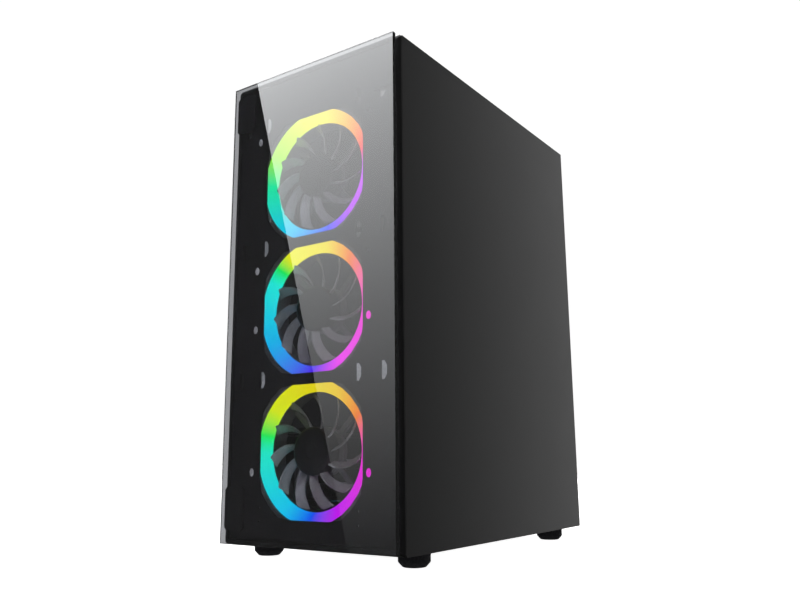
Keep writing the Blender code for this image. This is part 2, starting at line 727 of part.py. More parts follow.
def make_cooler(mats):
    """Tower heatsink: contact block, four heat pipes and a stack of fins, with its fan."""
    metal = mats["aluminium"]
    face = BOARD_X[0] - 4.5 - GAP
    fins_x = (-70.0, 32.0)
    fin_y = (CPU_Y - 25, CPU_Y + 25)
    fin_z = (CPU_Z - 58, CPU_Z + 58)
    block = box("heatsink", (face - 14, face), (CPU_Y - 20, CPU_Y + 20),
                (CPU_Z - 20, CPU_Z + 20), metal)
    parts = []
    for y in (CPU_Y - 9, CPU_Y + 9):
        for z in (CPU_Z - 14, CPU_Z + 14):
            parts.append(box("pipe", (fins_x[0] - 4, face - 8), (y - 2.7, y + 2.7),
                             (z - 2.7, z + 2.7), metal))
    fins = 9
    step = (fins_x[1] - fins_x[0]) / (fins - 1)
    for i in range(fins):
        x = fins_x[0] + step * i
        parts.append(box("fin", (x - 0.6, x + 0.6), fin_y, fin_z, metal))
    combine(block, parts)
    fan_y = fin_y[0] - 0.5 - FAN_DEPTH
    fan_x = -17.0
    fan_frame("cooler_fan_frame", fan_x, CPU_Z, fan_y, 57.0, False, mats["black_plastic"])
    fan_rotor("cooler_fan_rotor", (fan_x, fan_y + 11, CPU_Z), FACING_FRONT, 55.0, HUB_R, 7,
              15.0, mats["blade_plastic"], steps=3)


def make_graphics_card(mats):
    """Two-slot card: board with back plate and bracket, shroud, and two fans facing down."""
    x0, x1 = -38.0, BOARD_X[0] - 7 - GAP
    y0, y1 = REAR - 226, REAR - 6
    board_z = SLOT_Z - 5.8
    board = box("graphics_board", (x0, x1), (y0, y1), (board_z, board_z + 1.6),
                mats["circuit_board"])
    bracket = box("bracket", (x0, 73.0), (REAR - 6.5, REAR - SHEET - GAP - 1.6),
                  (SLOT_Z - 29, SLOT_Z + 7), mats["zinc_steel"])
    plate = box("plate", (x0 + 2, x1 - 6), (y0, y1 - 4), (board_z + 1.0, board_z + 3.6),
                mats["black_plastic"], 0.6)
    combine(board, [bracket, plate])
    top, bottom = board_z - GAP, board_z - 34
    fans = {"front": y0 + 56, "rear": y0 + 158}
    fan_x = (x0 + x1) / 2 - 2
    shroud = box("graphics_shroud", (x0 + 1, x1 - 8), (y0 + 2, y1 - 4), (bottom, top),
                 mats["black_plastic"], 1.5)
    cuts = [turned("well", [(0, 0), (45.5, 0), (45.5, 13), (0, 13)],
                   (fan_x, y, bottom - 1), "Z", mats["black_plastic"], count=24)
            for y in fans.values()]
    cuts.append(box("vent", (x0 - 1, x1), (y0 + 30, y1 - 30), (top - 16, top - 6),
                    mats["black_plastic"]))
    combine(shroud, cuts, "DIFFERENCE")
    for name, y in fans.items():
        fan_rotor(f"graphics_rotor_{name}", (fan_x, y, bottom + 5.4), FACING_DOWN, 43.5, 16.0,
                  9, 9.0, mats["black_plastic"], steps=2, shaft=0.8)


def make_power_supply(mats):
    """Power supply: steel case open over its fan, rotor, rocker switch and mains inlet."""
    steel = mats["painted_steel"]
    y0, y1 = REAR - SHEET - GAP - PSU_DEPTH, REAR - SHEET - GAP
    mid_x = (PSU_X[0] + PSU_X[1]) / 2
    fan_y = y0 + 68
    case = box("psu_case", PSU_X, (y0, y1), PSU_Z, steel)
    inlet_x, inlet_z = PSU_X[0] + 34, PSU_Z[0] + 55
    switch_x = inlet_x + 36
    cuts = [box("room", (PSU_X[0] + 1, PSU_X[1] - 1), (y0 + 1, y1 - 1),
                (PSU_Z[0] + 1, PSU_Z[1] - 1), steel),
            turned("mouth", [(0, 0), (58, 0), (58, 4), (0, 4)], (mid_x, fan_y, PSU_Z[0] - 2),
                   "Z", steel, count=24),
            box("inlet", (inlet_x - 14, inlet_x + 14), (y1 - 2, y1 + 1),
                (inlet_z - 10.5, inlet_z + 10.5), steel),
            box("switch", (switch_x - 8, switch_x + 8), (y1 - 2, y1 + 1),
                (inlet_z - 11, inlet_z + 11), steel),
            box("leads", (mid_x + 20, mid_x + 50), (y0 - 1, y0 + 2), (50, 75), steel)]
    for row in range(5):
        z = PSU_Z[0] + 16 + 13 * row
        cuts.append(box("slot", (mid_x + 6, PSU_X[1] - 8), (y1 - 2, y1 + 1),
                        (z - 3.5, z + 3.5), steel))
    combine(case, cuts, "DIFFERENCE")
    combine(case, [box("bar", (PSU_X[0] + 0.5, PSU_X[1] - 0.5), (fan_y - 3.5, fan_y + 3.5),
                       (PSU_Z[0] + 25.2, PSU_Z[0] + 27.8), steel)])
    fan_rotor("psu_fan_rotor", (mid_x, fan_y, PSU_Z[0] + 14), FACING_DOWN, 55.0, HUB_R, 7, 14.0,
              mats["black_plastic"], steps=2, shaft=3.9)

    inlet = box("psu_inlet", (inlet_x - 13.6, inlet_x + 13.6), (y1 - 20, y1 - 0.2),
                (inlet_z - 10.1, inlet_z + 10.1), mats["black_plastic"])
    well = box("well", (inlet_x - 12, inlet_x + 12), (y1 - 16, y1 + 1),
               (inlet_z - 8, inlet_z + 8), mats["black_plastic"])
    combine(inlet, [well], "DIFFERENCE")
    pins = [box("pin", (inlet_x + dx - 1, inlet_x + dx + 1), (y1 - 17, y1 - 5),
                (inlet_z + dz - 2.5, inlet_z + dz + 2.5), mats["zinc_steel"])
            for dx, dz in ((-7, -2), (0, 2), (7, -2))]
    combine(inlet, pins)

    pivot = (switch_x, y1 - 4.0, inlet_z)
    bm = bmesh.new()
    profile = [(-9.5, 0.2), (0, -1.0), (9.5, 2.6), (9.0, -5.0), (-9.0, -5.0)]
    ends = []
    for x in (-6.6, 6.6):
        ends.append([bm.verts.new((pivot[0] + x, pivot[1] + y, pivot[2] + z))
                     for z, y in profile])
    bm.faces.new(ends[0])
    bm.faces.new(list(reversed(ends[1])))
    for i in range(len(profile)):
        j = (i + 1) % len(profile)
        bm.faces.new((ends[0][i], ends[1][i], ends[1][j], ends[0][j]))
    finish_mesh("psu_switch", bm, mats["rocker_plastic"], pivot)


# ---------------------------------------------------------------- covers, door and filters


def make_right_panel(mats):
    """Flat steel side with folded edges, a rear tab and two thumbscrews."""
    steel = mats["painted_steel"]
    y0, y1 = SHELL_Y, FRONT + 346
    thickness, hem = 0.8, 7.0
    panel = box("right_side_panel", (RIGHT - thickness, RIGHT), (y0, y1), (PANEL_Z, CASE_H),
                steel)
    fold = sheet("fold", "X", RIGHT - 1.7, 1.3, rectangle(y0, y1, PANEL_Z, CASE_H),
                 [rectangle(y0 + hem, y1 - hem, PANEL_Z + hem, CASE_H - hem)], steel)
    tab = box("tab", (RIGHT - 13, RIGHT - 0.4), (REAR + GAP, REAR + GAP + 0.8),
              (PANEL_Z + 20, CASE_H - 20), steel)
    bridge = box("bridge", (RIGHT - 1.7, RIGHT - 0.4), (y1 - 1, REAR + GAP + 0.8),
                 (PANEL_Z + 20, CASE_H - 20), steel)
    combine(panel, [fold, tab, bridge])
    start = REAR + GAP + 0.8 + GAP
    for name, z in (("lower", 60.0), ("upper", 390.0)):
        turned(f"thumbscrew_{name}", [(0, 0), (4.2, 0), (4.2, 2.1), (3.4, 2.9), (0, 2.9)],
               (RIGHT - 7.5, start, z), "Y", mats["button_plastic"], count=12)


def make_door(mats):
    """Hinged glass door on the left: glass, front trim with a magnet, and hinge strip."""
    steel = mats["painted_steel"]
    xs = (LEFT, LEFT + DOOR_T)
    z0, z1 = BASE_Z + GAP, CASE_H - 0.5
    trim_y = (SHELL_Y, SHELL_Y + 6.0)
    strip_y = (HINGE_Y - 16.0, HINGE_Y - 4.7)
    box("door_edge_trim", xs, trim_y, (z0, z1), mats["black_plastic"], 0.5)
    box("left_glass_door", xs, (trim_y[1] + GAP, strip_y[0] - GAP), (z0, z1),
        mats["tinted_glass"], 0.5)
    box("door_magnet", (xs[1] + GAP, xs[1] + 7), (SHELL_Y + 2.0, SHELL_Y + 10.0), (205, 245),
        mats["black_plastic"], 0.6)
    strip = box("door_hinge_strip", xs, strip_y, (z0, z1), steel,
                origin=(HINGE_X, HINGE_Y, (z0 + z1) / 2))
    parts = []
    for z in KNUCKLE_Z:
        half = KNUCKLE_H / 2
        parts.append(box("arm", (xs[0] + 0.5, xs[1] - 0.5), (strip_y[1] - 1, HINGE_Y - 1.7),
                         (z - half + 1, z + half - 1), steel))
        parts.append(turned("barrel", [(1.35, 0), (2.15, 0), (2.15, KNUCKLE_H),
                                       (1.35, KNUCKLE_H), (1.35, 0)],
                            (HINGE_X, HINGE_Y, z - half), "Z", steel, count=12))
    combine(strip, parts)

    post_y = (HINGE_Y + 3.0, REAR)
    post = box("hinge_post", (LEFT + 0.1, SHELL_X[0] - GAP), post_y, (40, 410), steel)
    parts = []
    for z in KNUCKLE_Z:
        reach = KNUCKLE_H / 2 + GAP
        for level in (z - reach - 3, z + reach):
            parts.append(box("lug", (LEFT + 0.3, SHELL_X[0] - GAP - STEP),
                             (HINGE_Y - 1.8, post_y[0] + 0.5), (level, level + 3), steel))
        parts.append(turned("pin", [(0, 0), (1.0, 0), (1.0, 2 * reach + 2), (0, 2 * reach + 2)],
                            (HINGE_X, HINGE_Y, z - reach - 1), "Z", steel, count=12))
    combine(post, parts)


def make_filters(mats):
    box("top_filter", (-68, 68), (FRONT + 78, FRONT + 312), (SHELL_TOP + GAP, CASE_H),
        mats["filter_mesh"])
    tray = box("psu_filter", (-RAIL_X + 0.4, RAIL_X - 0.4), (REAR - 145, REAR - 3),
               (RAIL_Z + 1.1, RAIL_Z + 2.3), mats["filter_mesh"])
    combine(tray, [box("tab", (-14, 14), (REAR - 4, REAR + 3),
                       (RAIL_Z + 1.2, RAIL_Z + 2.9), mats["filter_mesh"])])


# ---------------------------------------------------------------- ports and buttons


def make_ports(mats):
    """Cover plate on the top's front edge, and the circuit board with its connectors."""
    holes = [circle(POWER_X, IO_Y, 6.1, 20), circle(RESET_X, IO_Y, 2.9, 10),
             circle(LIGHT_X, IO_Y, 2.9, 10)]
    holes += [rectangle(x - 7.1, x + 7.1, IO_Y - 3.4, IO_Y + 3.4) for x in USB_X]
    holes += [circle(x, IO_Y, 3.7, 10) for x in AUDIO_X]
    cover = sheet("io_cover", "Z", SHELL_TOP + GAP, CASE_H - SHELL_TOP - GAP,
                  rectangle(-74, 74, FRONT + 16, FRONT + 42, 3), holes, mats["black_plastic"])
    board_top = IO_BOARD_Z + 1.6
    legs = [box("leg", (x - 1.5, x + 1.5), (IO_Y - 3, IO_Y + 3),
                (board_top + GAP, SHELL_TOP + 0.6), mats["black_plastic"])
            for x in (-65.0, 63.0)]
    combine(cover, legs)

    board = box("io_board", (-68, 66), (IO_Y - 8, IO_Y + 8), (IO_BOARD_Z, board_top),
                mats["circuit_board"])
    port_top = CASE_H - 0.4
    solids, wells, tongues = [], [], []
    for x in USB_X:
        solids.append(box("shell", (x - 6.6, x + 6.6), (IO_Y - 2.9, IO_Y + 2.9),
                          (board_top - 0.5, port_top), mats["zinc_steel"]))
        wells.append(box("well", (x - 6.0, x + 6.0), (IO_Y - 2.3, IO_Y + 2.3),
                         (port_top - 9, port_top + 1), mats["zinc_steel"]))
        tongues.append(box("tongue", (x - 5.5, x + 5.5), (IO_Y + 0.2, IO_Y + 1.6),
                           (port_top - 10, port_top - 1), mats["zinc_steel"]))
    for x in AUDIO_X:
        solids.append(turned("jack", [(0, 0), (3.3, 0), (3.3, port_top - board_top + 0.5),
                                      (0, port_top - board_top + 0.5)],
                             (x, IO_Y, board_top - 0.5), "Z", mats["zinc_steel"], count=10))
        wells.append(turned("bore", [(0, 0), (1.8, 0), (1.8, 12), (0, 12)],
                            (x, IO_Y, port_top - 11), "Z", mats["zinc_steel"], count=10))
    for x in (POWER_X, RESET_X, LIGHT_X):
        solids.append(box("switch", (x - 2, x + 2), (IO_Y - 2, IO_Y + 2),
                          (board_top - 0.5, board_top + 0.6), mats["zinc_steel"]))
    combine(board, solids)
    combine(board, wells, "DIFFERENCE")
    combine(board, tongues)


def make_buttons(mats):
    """Push buttons, each a cap, a collar under the cover and a stem down to its switch."""
    stem_z = IO_BOARD_Z + 3.8
    for name, x, cap, stem, top in (("power_button", POWER_X, 5.8, 2.5, CASE_H + 1.0),
                                    ("reset_button", RESET_X, 2.6, 1.4, CASE_H + 0.8),
                                    ("light_button", LIGHT_X, 2.6, 1.4, CASE_H + 0.8)):
        collar_z = SHELL_TOP - 1.4
        levels = [(0, stem_z), (stem, stem_z), (stem, collar_z), (cap + 1.1, collar_z),
                  (cap + 1.1, SHELL_TOP - 0.1), (cap, SHELL_TOP - 0.1), (cap, top - 0.5),
                  (cap - 0.5, top), (0, top)]
        turned(name, [(radius, level - stem_z) for radius, level in levels],
               (x, IO_Y, stem_z), "Z", mats["button_plastic"], count=20 if cap > 4 else 10)


def main():
    for obj in list(bpy.data.objects):
        bpy.data.objects.remove(obj)
    mats = make_materials()
    make_feet(mats)
    make_base(mats)
    make_front_plate(mats)
    make_top(mats)
    make_rear(mats)
    make_tray(mats)
    make_shroud(mats)
    make_drive_cage(mats)
    make_front_panel(mats)
    make_front_fans(mats)
    make_rear_fan(mats)
    make_board(mats)
    make_memory(mats)
    make_cooler(mats)
    make_graphics_card(mats)
    make_power_supply(mats)
    make_right_panel(mats)
    make_door(mats)
    make_filters(mats)
    make_ports(mats)
    make_buttons(mats)


main()
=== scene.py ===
"""Looks of the desktop computer tower: its materials, its fine pieces, the studio and the camera.

The shared frame is in metres. Lengths here are in millimetres and are scaled as each mesh is
made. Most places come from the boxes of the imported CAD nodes.
"""

import json
from math import cos, pi, radians, sin

import bmesh
import bpy
from mathutils import Matrix, Vector


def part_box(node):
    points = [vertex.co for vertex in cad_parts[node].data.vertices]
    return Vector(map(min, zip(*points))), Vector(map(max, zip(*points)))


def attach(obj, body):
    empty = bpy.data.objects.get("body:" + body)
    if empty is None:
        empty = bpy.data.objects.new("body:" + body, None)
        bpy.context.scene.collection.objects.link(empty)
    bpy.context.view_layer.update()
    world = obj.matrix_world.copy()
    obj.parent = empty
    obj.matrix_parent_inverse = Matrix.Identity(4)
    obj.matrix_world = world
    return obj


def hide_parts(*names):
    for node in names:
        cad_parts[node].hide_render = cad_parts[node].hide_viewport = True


MM = 0.001
FAN_NAMES = ("lower", "middle", "upper")
FEET = [f"foot_{end}_{side}" for end in ("front", "rear") for side in ("left", "right")]
MEMORY_NODES = ("memory_stick_near", "memory_stick_far")

# Places shared with the CAD, in millimetres: the board's face, the top expansion slot and the
# step to the next, the heights of the light pipes, front slots and cable windows, how far to
# each side the pipes and slots are, and half the spacing of a 120 mm fan's screws.
BOARD_FACE = 75.0
SLOT_TOP, SLOT_PITCH = 236.0, 20.32
LIT_PIPES = {"lower": 73.4, "middle": 198.5}
LIT_PIPE_X = 63.8
UNLIT_PIPES = (73.4, 198.5, 253.0, 378.2)
UNLIT_PIPE_X = -63.5
FRONT_SLOTS = (153.0, 273.0, 393.0)
INNER_SLOT_X = 53.4
OUTER_SLOT = (75.5, 82.7)
WINDOWS = (150.0, 240.0, 330.0)
WINDOW_HEIGHT = 55
FAN_SCREW = 52.5

# ---- camera values

CAMERA_AT = (0.4424, -0.6685, 0.0832)
CAMERA_TURN = 34.81
CAMERA_TILT = 11.49
CAMERA_ROLL = -0.49
CAMERA_LENS = 35.33

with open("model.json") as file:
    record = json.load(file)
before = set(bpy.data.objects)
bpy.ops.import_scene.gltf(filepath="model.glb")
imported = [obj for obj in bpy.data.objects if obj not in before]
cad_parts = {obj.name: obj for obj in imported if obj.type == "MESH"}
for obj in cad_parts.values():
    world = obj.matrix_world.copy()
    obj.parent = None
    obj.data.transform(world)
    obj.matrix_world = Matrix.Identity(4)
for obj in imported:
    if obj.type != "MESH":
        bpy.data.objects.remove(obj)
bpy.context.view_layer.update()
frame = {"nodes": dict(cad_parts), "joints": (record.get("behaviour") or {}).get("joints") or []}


def span(node):
    """A CAD node's lowest corner, highest corner and middle, in millimetres."""
    low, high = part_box(node)
    return low / MM, high / MM, (low + high) / (2 * MM)


def slot_height(number):
    """The middle of an expansion slot, counted from the top one."""
    return SLOT_TOP - SLOT_PITCH * number


# ---- materials


class Nodes:
    """Short calls that build a node tree."""

    def __init__(self, tree):
        self.tree = tree

    def add(self, kind, **values):
        node = self.tree.nodes.new(kind)
        for key, value in values.items():
            setattr(node, key, value)
        return node

    def link(self, output, target):
        self.tree.links.new(output, target)

    def span(self, value, low, high, at=(0.0, 1.0)):
        """Map a value from one range onto another."""
        node = self.add("ShaderNodeMapRange")
        for label, number in (("From Min", at[0]), ("From Max", at[1]), ("To Min", low),
                              ("To Max", high)):
            node.inputs[label].default_value = number
        self.link(value, node.inputs["Value"])
        return node.outputs["Result"]

    def math(self, operation, *values):
        node = self.add("ShaderNodeMath", operation=operation)
        for socket, value in zip(node.inputs, values):
            if isinstance(value, (int, float)):
                socket.default_value = value
            else:
                self.link(value, socket)
        return node.outputs["Value"]

    def place_parts(self):
        """The outputs X, Y and Z of the place on the object."""
        node = self.add("ShaderNodeSeparateXYZ")
        self.link(self.add("ShaderNodeTexCoord").outputs["Object"], node.inputs["Vector"])
        return node.outputs


class Look(Nodes):
    """A Principled material, with short calls for the patterns that feed it."""

    def __init__(self, name, colour, roughness, sockets=None):
        self.mat = bpy.data.materials.new(name)
        self.mat.use_nodes = True
        super().__init__(self.mat.node_tree)
        self.shader = self.tree.nodes["Principled BSDF"]
        self.set("Base Color", (*colour, 1.0))
        self.set("Roughness", roughness)
        for label, value in (sockets or {}).items():
            self.set(label, value)
        self.place = self.add("ShaderNodeTexCoord").outputs["Object"]
        self.normal = None

    def set(self, label, value):
        self.shader.inputs[label].default_value = value

    def drive(self, label, output):
        self.link(output, self.shader.inputs[label])

    def stretched(self, factors):
        mapping = self.add("ShaderNodeMapping")
        mapping.inputs["Scale"].default_value = factors
        self.link(self.place, mapping.inputs["Vector"])
        return mapping.outputs["Vector"]

    def noise(self, scale, detail=3.0, rough=0.55, place=None):
        node = self.add("ShaderNodeTexNoise")
        for label, number in (("Scale", scale), ("Detail", detail), ("Roughness", rough)):
            node.inputs[label].default_value = number
        self.link(place or self.place, node.inputs["Vector"])
        return node.outputs["Fac"]

    def cells(self, scale, output="Distance", place=None, distance="EUCLIDEAN"):
        node = self.add("ShaderNodeTexVoronoi", feature="F1", distance=distance)
        node.inputs["Scale"].default_value = scale
        self.link(place or self.place, node.inputs["Vector"])
        return node.outputs[output]

    def ramp(self, value, stops):
        node = self.add("ShaderNodeValToRGB")
        elements = node.color_ramp.elements
        while len(elements) < len(stops):
            elements.new(0.5)
        for element, (position, colour) in zip(elements, stops):
            element.position = position
            element.color = (*colour, 1.0)
        self.link(value, node.inputs["Fac"])
        return node.outputs["Color"]

    def bump(self, height, depth, strength=1.0):
        """Raise the surface by a pattern. depth is in metres and bumps add up."""
        node = self.add("ShaderNodeBump")
        node.inputs["Strength"].default_value = strength
        node.inputs["Distance"].default_value = depth
        self.link(height, node.inputs["Height"])
        if self.normal is not None:
            self.link(self.normal, node.inputs["Normal"])
        self.normal = node.outputs["Normal"]
        self.drive("Normal", self.normal)

    def halves(self, output):
        """The first two channels of a colour."""
        node = self.add("ShaderNodeSeparateColor")
        self.link(output, node.inputs["Color"])
        return node.outputs["Red"], node.outputs["Green"]

    def shade(self, share, dark, light, base=None):
        """Vary the base colour between two colours, or two shares of a base colour."""
        if base:
            dark, light = (tuple(factor * c for c in base) for factor in (dark, light))
        node = self.add("ShaderNodeMix", data_type="RGBA")
        self.link(share, node.inputs["Factor"])
        node.inputs[6].default_value = (*dark, 1.0)
        node.inputs[7].default_value = (*light, 1.0)
        self.drive("Base Color", node.outputs[2])

    def gloss(self, pattern, low, high, at=(0.0, 1.0)):
        self.drive("Roughness", self.span(pattern, low, high, at))


METAL = {"Metallic": 1.0}


def powder_coat(name, colour, roughness=0.42, sheen=0.5):
    """Satin powder coat: fine orange peel, faint cloudiness in gloss and shade."""
    look = Look(name, colour, roughness, {"Specular IOR Level": sheen})
    cloud = look.noise(22, 4)
    peel = look.noise(900, 2)
    grit = look.noise(3200, 1)
    look.gloss(cloud, roughness - 0.008, roughness + 0.010, (0.3, 0.7))
    look.shade(look.span(grit, 0, 1, (0.35, 0.7)), 0.8, 1.3, colour)
    look.bump(peel, 0.000025, 0.35)
    look.bump(grit, 0.000010, 0.5)
    return look.mat


def moulded_plastic(name, colour, roughness, grain=2600, sockets=None):
    """Injection moulding: spark-eroded grain and slow drift in gloss."""
    look = Look(name, colour, roughness, sockets)
    grains = look.cells(grain)
    look.gloss(look.noise(60, 3), roughness - 0.06, roughness + 0.08, (0.3, 0.7))
    look.shade(look.noise(400, 3), 0.85, 1.2, colour)
    look.bump(grains, 0.00003, 0.6)
    return look.mat


def rubber(name, level):
    """Dull rubber with a little dust on it."""
    look = Look(name, (level, level, 1.1 * level), 0.75, {"Specular IOR Level": 0.35})
    dust = look.noise(500, 6, 0.7)
    look.shade(look.span(dust, 0, 1, (0.45, 0.75)), (0.85 * level, 0.85 * level, level),
               (1.9 * level, 1.9 * level, 2.0 * level))
    look.gloss(look.noise(150, 3), 0.65, 0.9)
    look.bump(look.noise(2200, 3), 0.00006, 0.6)
    return look.mat


def tinted_glass(name, tint):
    """Smoked tempered glass: clear surface with the faintest roller wave."""
    look = Look(name, tint, 0.0, {"Transmission Weight": 1.0, "IOR": 1.75})
    look.bump(look.noise(9, 1), 0.00006, 0.25)
    return look.mat


def glass_edge(name):
    """The ground and polished rim of the glass, nearly black from the smoked body."""
    look = Look(name, (0.008, 0.009, 0.010), 0.22)
    look.gloss(look.noise(700, 3), 0.16, 0.34)
    look.bump(look.noise(2600, 2), 0.00002, 0.4)
    return look.mat


def brushed_metal(name, colour, roughness, along, fine=1600.0, spread=0.1):
    """Metal with fine straight scratches along X, Y or Z."""
    look = Look(name, colour, roughness, METAL)
    factors = [1.0, 1.0, 1.0]
    factors["XYZ".index(along)] = 0.02
    lines = look.noise(fine, 3, 0.6, look.stretched(factors))
    look.gloss(lines, roughness - 0.8 * spread, roughness + spread, (0.3, 0.7))
    look.shade(look.noise(90, 4), 0.92, 1.04, colour)
    look.bump(lines, 0.00002, 3 * spread)
    return look.mat


def galvanised(name):
    """Zinc-coated sheet with its spangle of soft-edged crystals."""
    look = Look(name, (0.52, 0.54, 0.57), 0.34, METAL)
    red, green = look.halves(look.cells(260, "Color"))
    look.shade(red, (0.50, 0.52, 0.55), (0.60, 0.62, 0.65))
    look.gloss(green, 0.26, 0.44)
    look.bump(look.noise(1800, 2), 0.00002, 0.4)
    return look.mat


def cast_aluminium(name):
    look = Look(name, (0.55, 0.56, 0.58), 0.42, METAL)
    look.gloss(look.noise(260, 4), 0.34, 0.52)
    look.shade(look.noise(70, 4), (0.46, 0.47, 0.49), (0.62, 0.63, 0.65))
    look.bump(look.cells(1500), 0.00003, 0.5)
    return look.mat


def circuit_board(name, across):
    """Black solder mask over copper: fine tracks in two directions and small via dots."""
    look = Look(name, (0.008, 0.010, 0.010), 0.36, {"Specular IOR Level": 0.55})
    flat = [1.0, 1.0, 1.0]
    flat["XYZ".index(across)] = 0.0
    sheet = look.stretched(flat)
    red, green = look.halves(look.cells(70, "Color", sheet, "CHEBYCHEV"))
    lines = []
    for direction in [axis for axis in "XYZ" if axis != across]:
        wave = look.add("ShaderNodeTexWave", bands_direction=direction, wave_profile="SIN")
        wave.inputs["Scale"].default_value = 420
        wave.inputs["Distortion"].default_value = 0.0
        look.link(sheet, wave.inputs["Vector"])
        lines.append(look.math("GREATER_THAN", wave.outputs["Fac"], 0.62))
    turn = look.math("GREATER_THAN", red, 0.5)
    keep = look.math("GREATER_THAN", green, 0.45)
    flip = look.math("SUBTRACT", 1.0, turn)
    tracks = look.math("MULTIPLY", keep, look.math(
        "ADD", look.math("MULTIPLY", turn, lines[0]), look.math("MULTIPLY", flip, lines[1])))
    vias = look.math("LESS_THAN", look.cells(330, place=sheet), 0.16)
    raised = look.math("MAXIMUM", tracks, vias)
    look.shade(raised, (0.007, 0.009, 0.009), (0.022, 0.026, 0.026))
    look.gloss(raised, 0.30, 0.42)
    look.bump(raised, 0.00003, 0.6)
    return look.mat


# The hue of each ring's lamps, both in degrees, going round from the tower's right.
RING_HUES = {
    "lower": ((0, 310), (30, 390), (60, 410), (140, 425), (165, 500), (180, 530),
              (240, 550), (270, 580), (300, 650), (360, 670)),
    "middle": ((0, 310), (45, 390), (75, 415), (120, 420), (135, 500), (150, 535),
               (210, 555), (270, 620), (300, 660), (360, 670)),
    "upper": ((0, 290), (15, 350), (45, 400), (90, 420), (150, 440), (180, 520),
              (240, 550), (285, 585), (315, 645), (360, 650)),
}


def pure_colour(hue):
    """The full-strength colour of a hue, counted in turns."""
    return tuple(max(0.0, min(1.0, abs((hue * 6 + shift) % 6 - 3) - 1)) for shift in (0, 4, 2))


def lit_ring(name, centre, hues):
    """A frosted diffuser lit by a string of coloured lamps, its hue going round the ring."""
    look = Look(name, (0.02, 0.02, 0.022), 0.5, {"Specular IOR Level": 0.1})
    parts = look.place_parts()
    across = look.math("SUBTRACT", parts["X"], centre.x * MM)
    rise = look.math("SUBTRACT", parts["Z"], centre.z * MM)
    angle = look.math("ARCTAN2", rise, across)
    share = look.math("FRACT", look.math("ADD", look.math("DIVIDE", angle, 2 * pi), 1.0))
    stops = [(position / 360, tuple(c ** 2.2 for c in pure_colour(hue / 360 % 1.0)))
             for position, hue in hues]
    look.drive("Emission Color", look.ramp(share, stops))
    look.set("Emission Strength", 2.45)
    look.bump(look.noise(1500, 2), 0.00003, 0.4)
    return look.mat


MATERIALS = (
    ("painted_steel", powder_coat, (0.014, 0.014, 0.0155), 0.36),
    ("matt_steel", powder_coat, (0.014, 0.014, 0.015), 0.62, 0.2),
    ("tinted_glass", tinted_glass, (0.355, 0.36, 0.375)),
    ("glass_edge", glass_edge),
    ("black_plastic", moulded_plastic, (0.011, 0.011, 0.012), 0.46),
    ("button_plastic", moulded_plastic, (0.022, 0.022, 0.024), 0.3, 4200),
    ("rubber", rubber, 0.085),
    ("pad_rubber", rubber, 0.008),
    ("frosted_plastic", moulded_plastic, (0.12, 0.122, 0.126), 0.42),
    # The emission below is a painted glow: the unlit pipe lenses and the pale plastic behind the
    # front slots shine grey though no lamp lights them.
    ("lens_plastic", moulded_plastic, (0.50, 0.51, 0.53), 0.35, 5000,
     {"Emission Color": (0.6, 0.62, 0.65, 1), "Emission Strength": 0.40}),
    ("blade_plastic", moulded_plastic, (0.25, 0.255, 0.26), 0.36, 5000,
     {"Coat Weight": 0.3, "Coat Roughness": 0.12}),
    ("hub_plastic", moulded_plastic, (0.012, 0.012, 0.013), 0.45, 5000,
     {"Specular IOR Level": 0.3}),
    ("zinc_steel", galvanised),
    ("aluminium", brushed_metal, (0.70, 0.71, 0.73), 0.30, "Y"),
    ("cast_aluminium", cast_aluminium),
    ("board_upright", circuit_board, "X"),
    ("board_flat", circuit_board, "Z"),
    ("fin_metal", brushed_metal, (0.74, 0.75, 0.77), 0.34, "Z", 2600, 0.03),
    ("nickel", brushed_metal, (0.62, 0.62, 0.61), 0.22, "X", 900),
    ("dark_aluminium", brushed_metal, (0.16, 0.165, 0.175), 0.36, "Z"),
    ("black_metal", moulded_plastic, (0.020, 0.020, 0.021), 0.32, 3200, {"Metallic": 0.6}),
    ("coil_grey", moulded_plastic, (0.10, 0.10, 0.105), 0.5, 3600),
    ("port_blue", moulded_plastic, (0.02, 0.09, 0.34), 0.4, 4200),
    ("filter_mesh", moulded_plastic, (0.016, 0.016, 0.017), 0.55),
    ("switch_black", moulded_plastic, (0.012, 0.012, 0.013), 0.28, 4200),
)

LOOKS = {name: make(name, *values) for name, make, *values in MATERIALS}
for fan_name, hues in RING_HUES.items():
    LOOKS[f"light_ring_{fan_name}"] = lit_ring(f"light_ring_{fan_name}",
                                               span(f"light_ring_{fan_name}")[2], hues)


# ---- mesh helpers


def add_object(name, data):
    obj = bpy.data.objects.new(name, data)
    bpy.context.scene.collection.objects.link(obj)
    return obj


def finish_piece(name, bm, looks, replaces=(), smooth=None, bevel=0.0, body="chassis"):
    """Turn a bmesh built in millimetres into a piece that rides on a body.

    smooth is the angle, in degrees, under which neighbouring faces are shaded as one.
    """
    bmesh.ops.recalc_face_normals(bm, faces=bm.faces)
    bmesh.ops.scale(bm, vec=(MM, MM, MM), verts=bm.verts)
    mesh = bpy.data.meshes.new(name)
    bm.to_mesh(mesh)
    bm.free()
    for label in (looks,) if isinstance(looks, str) else looks:
        mesh.materials.append(LOOKS[label])
    if smooth is not None:
        mesh.shade_smooth()
        mesh.set_sharp_from_angle(angle=radians(smooth))
    obj = add_object(name, mesh)
    if bevel:
        soften(obj, bevel)
    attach(obj, body)
    if replaces:
        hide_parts(*replaces)


def soften(obj, width, angle=40):
    """Round an object's sharp edges a little, as paint and moulding do."""
    bevel = obj.modifiers.new("soften", "BEVEL")
    bevel.width = width * MM
    bevel.segments = 2
    bevel.limit_method = "ANGLE"
    bevel.angle_limit = radians(angle)
    bevel.harden_normals = True


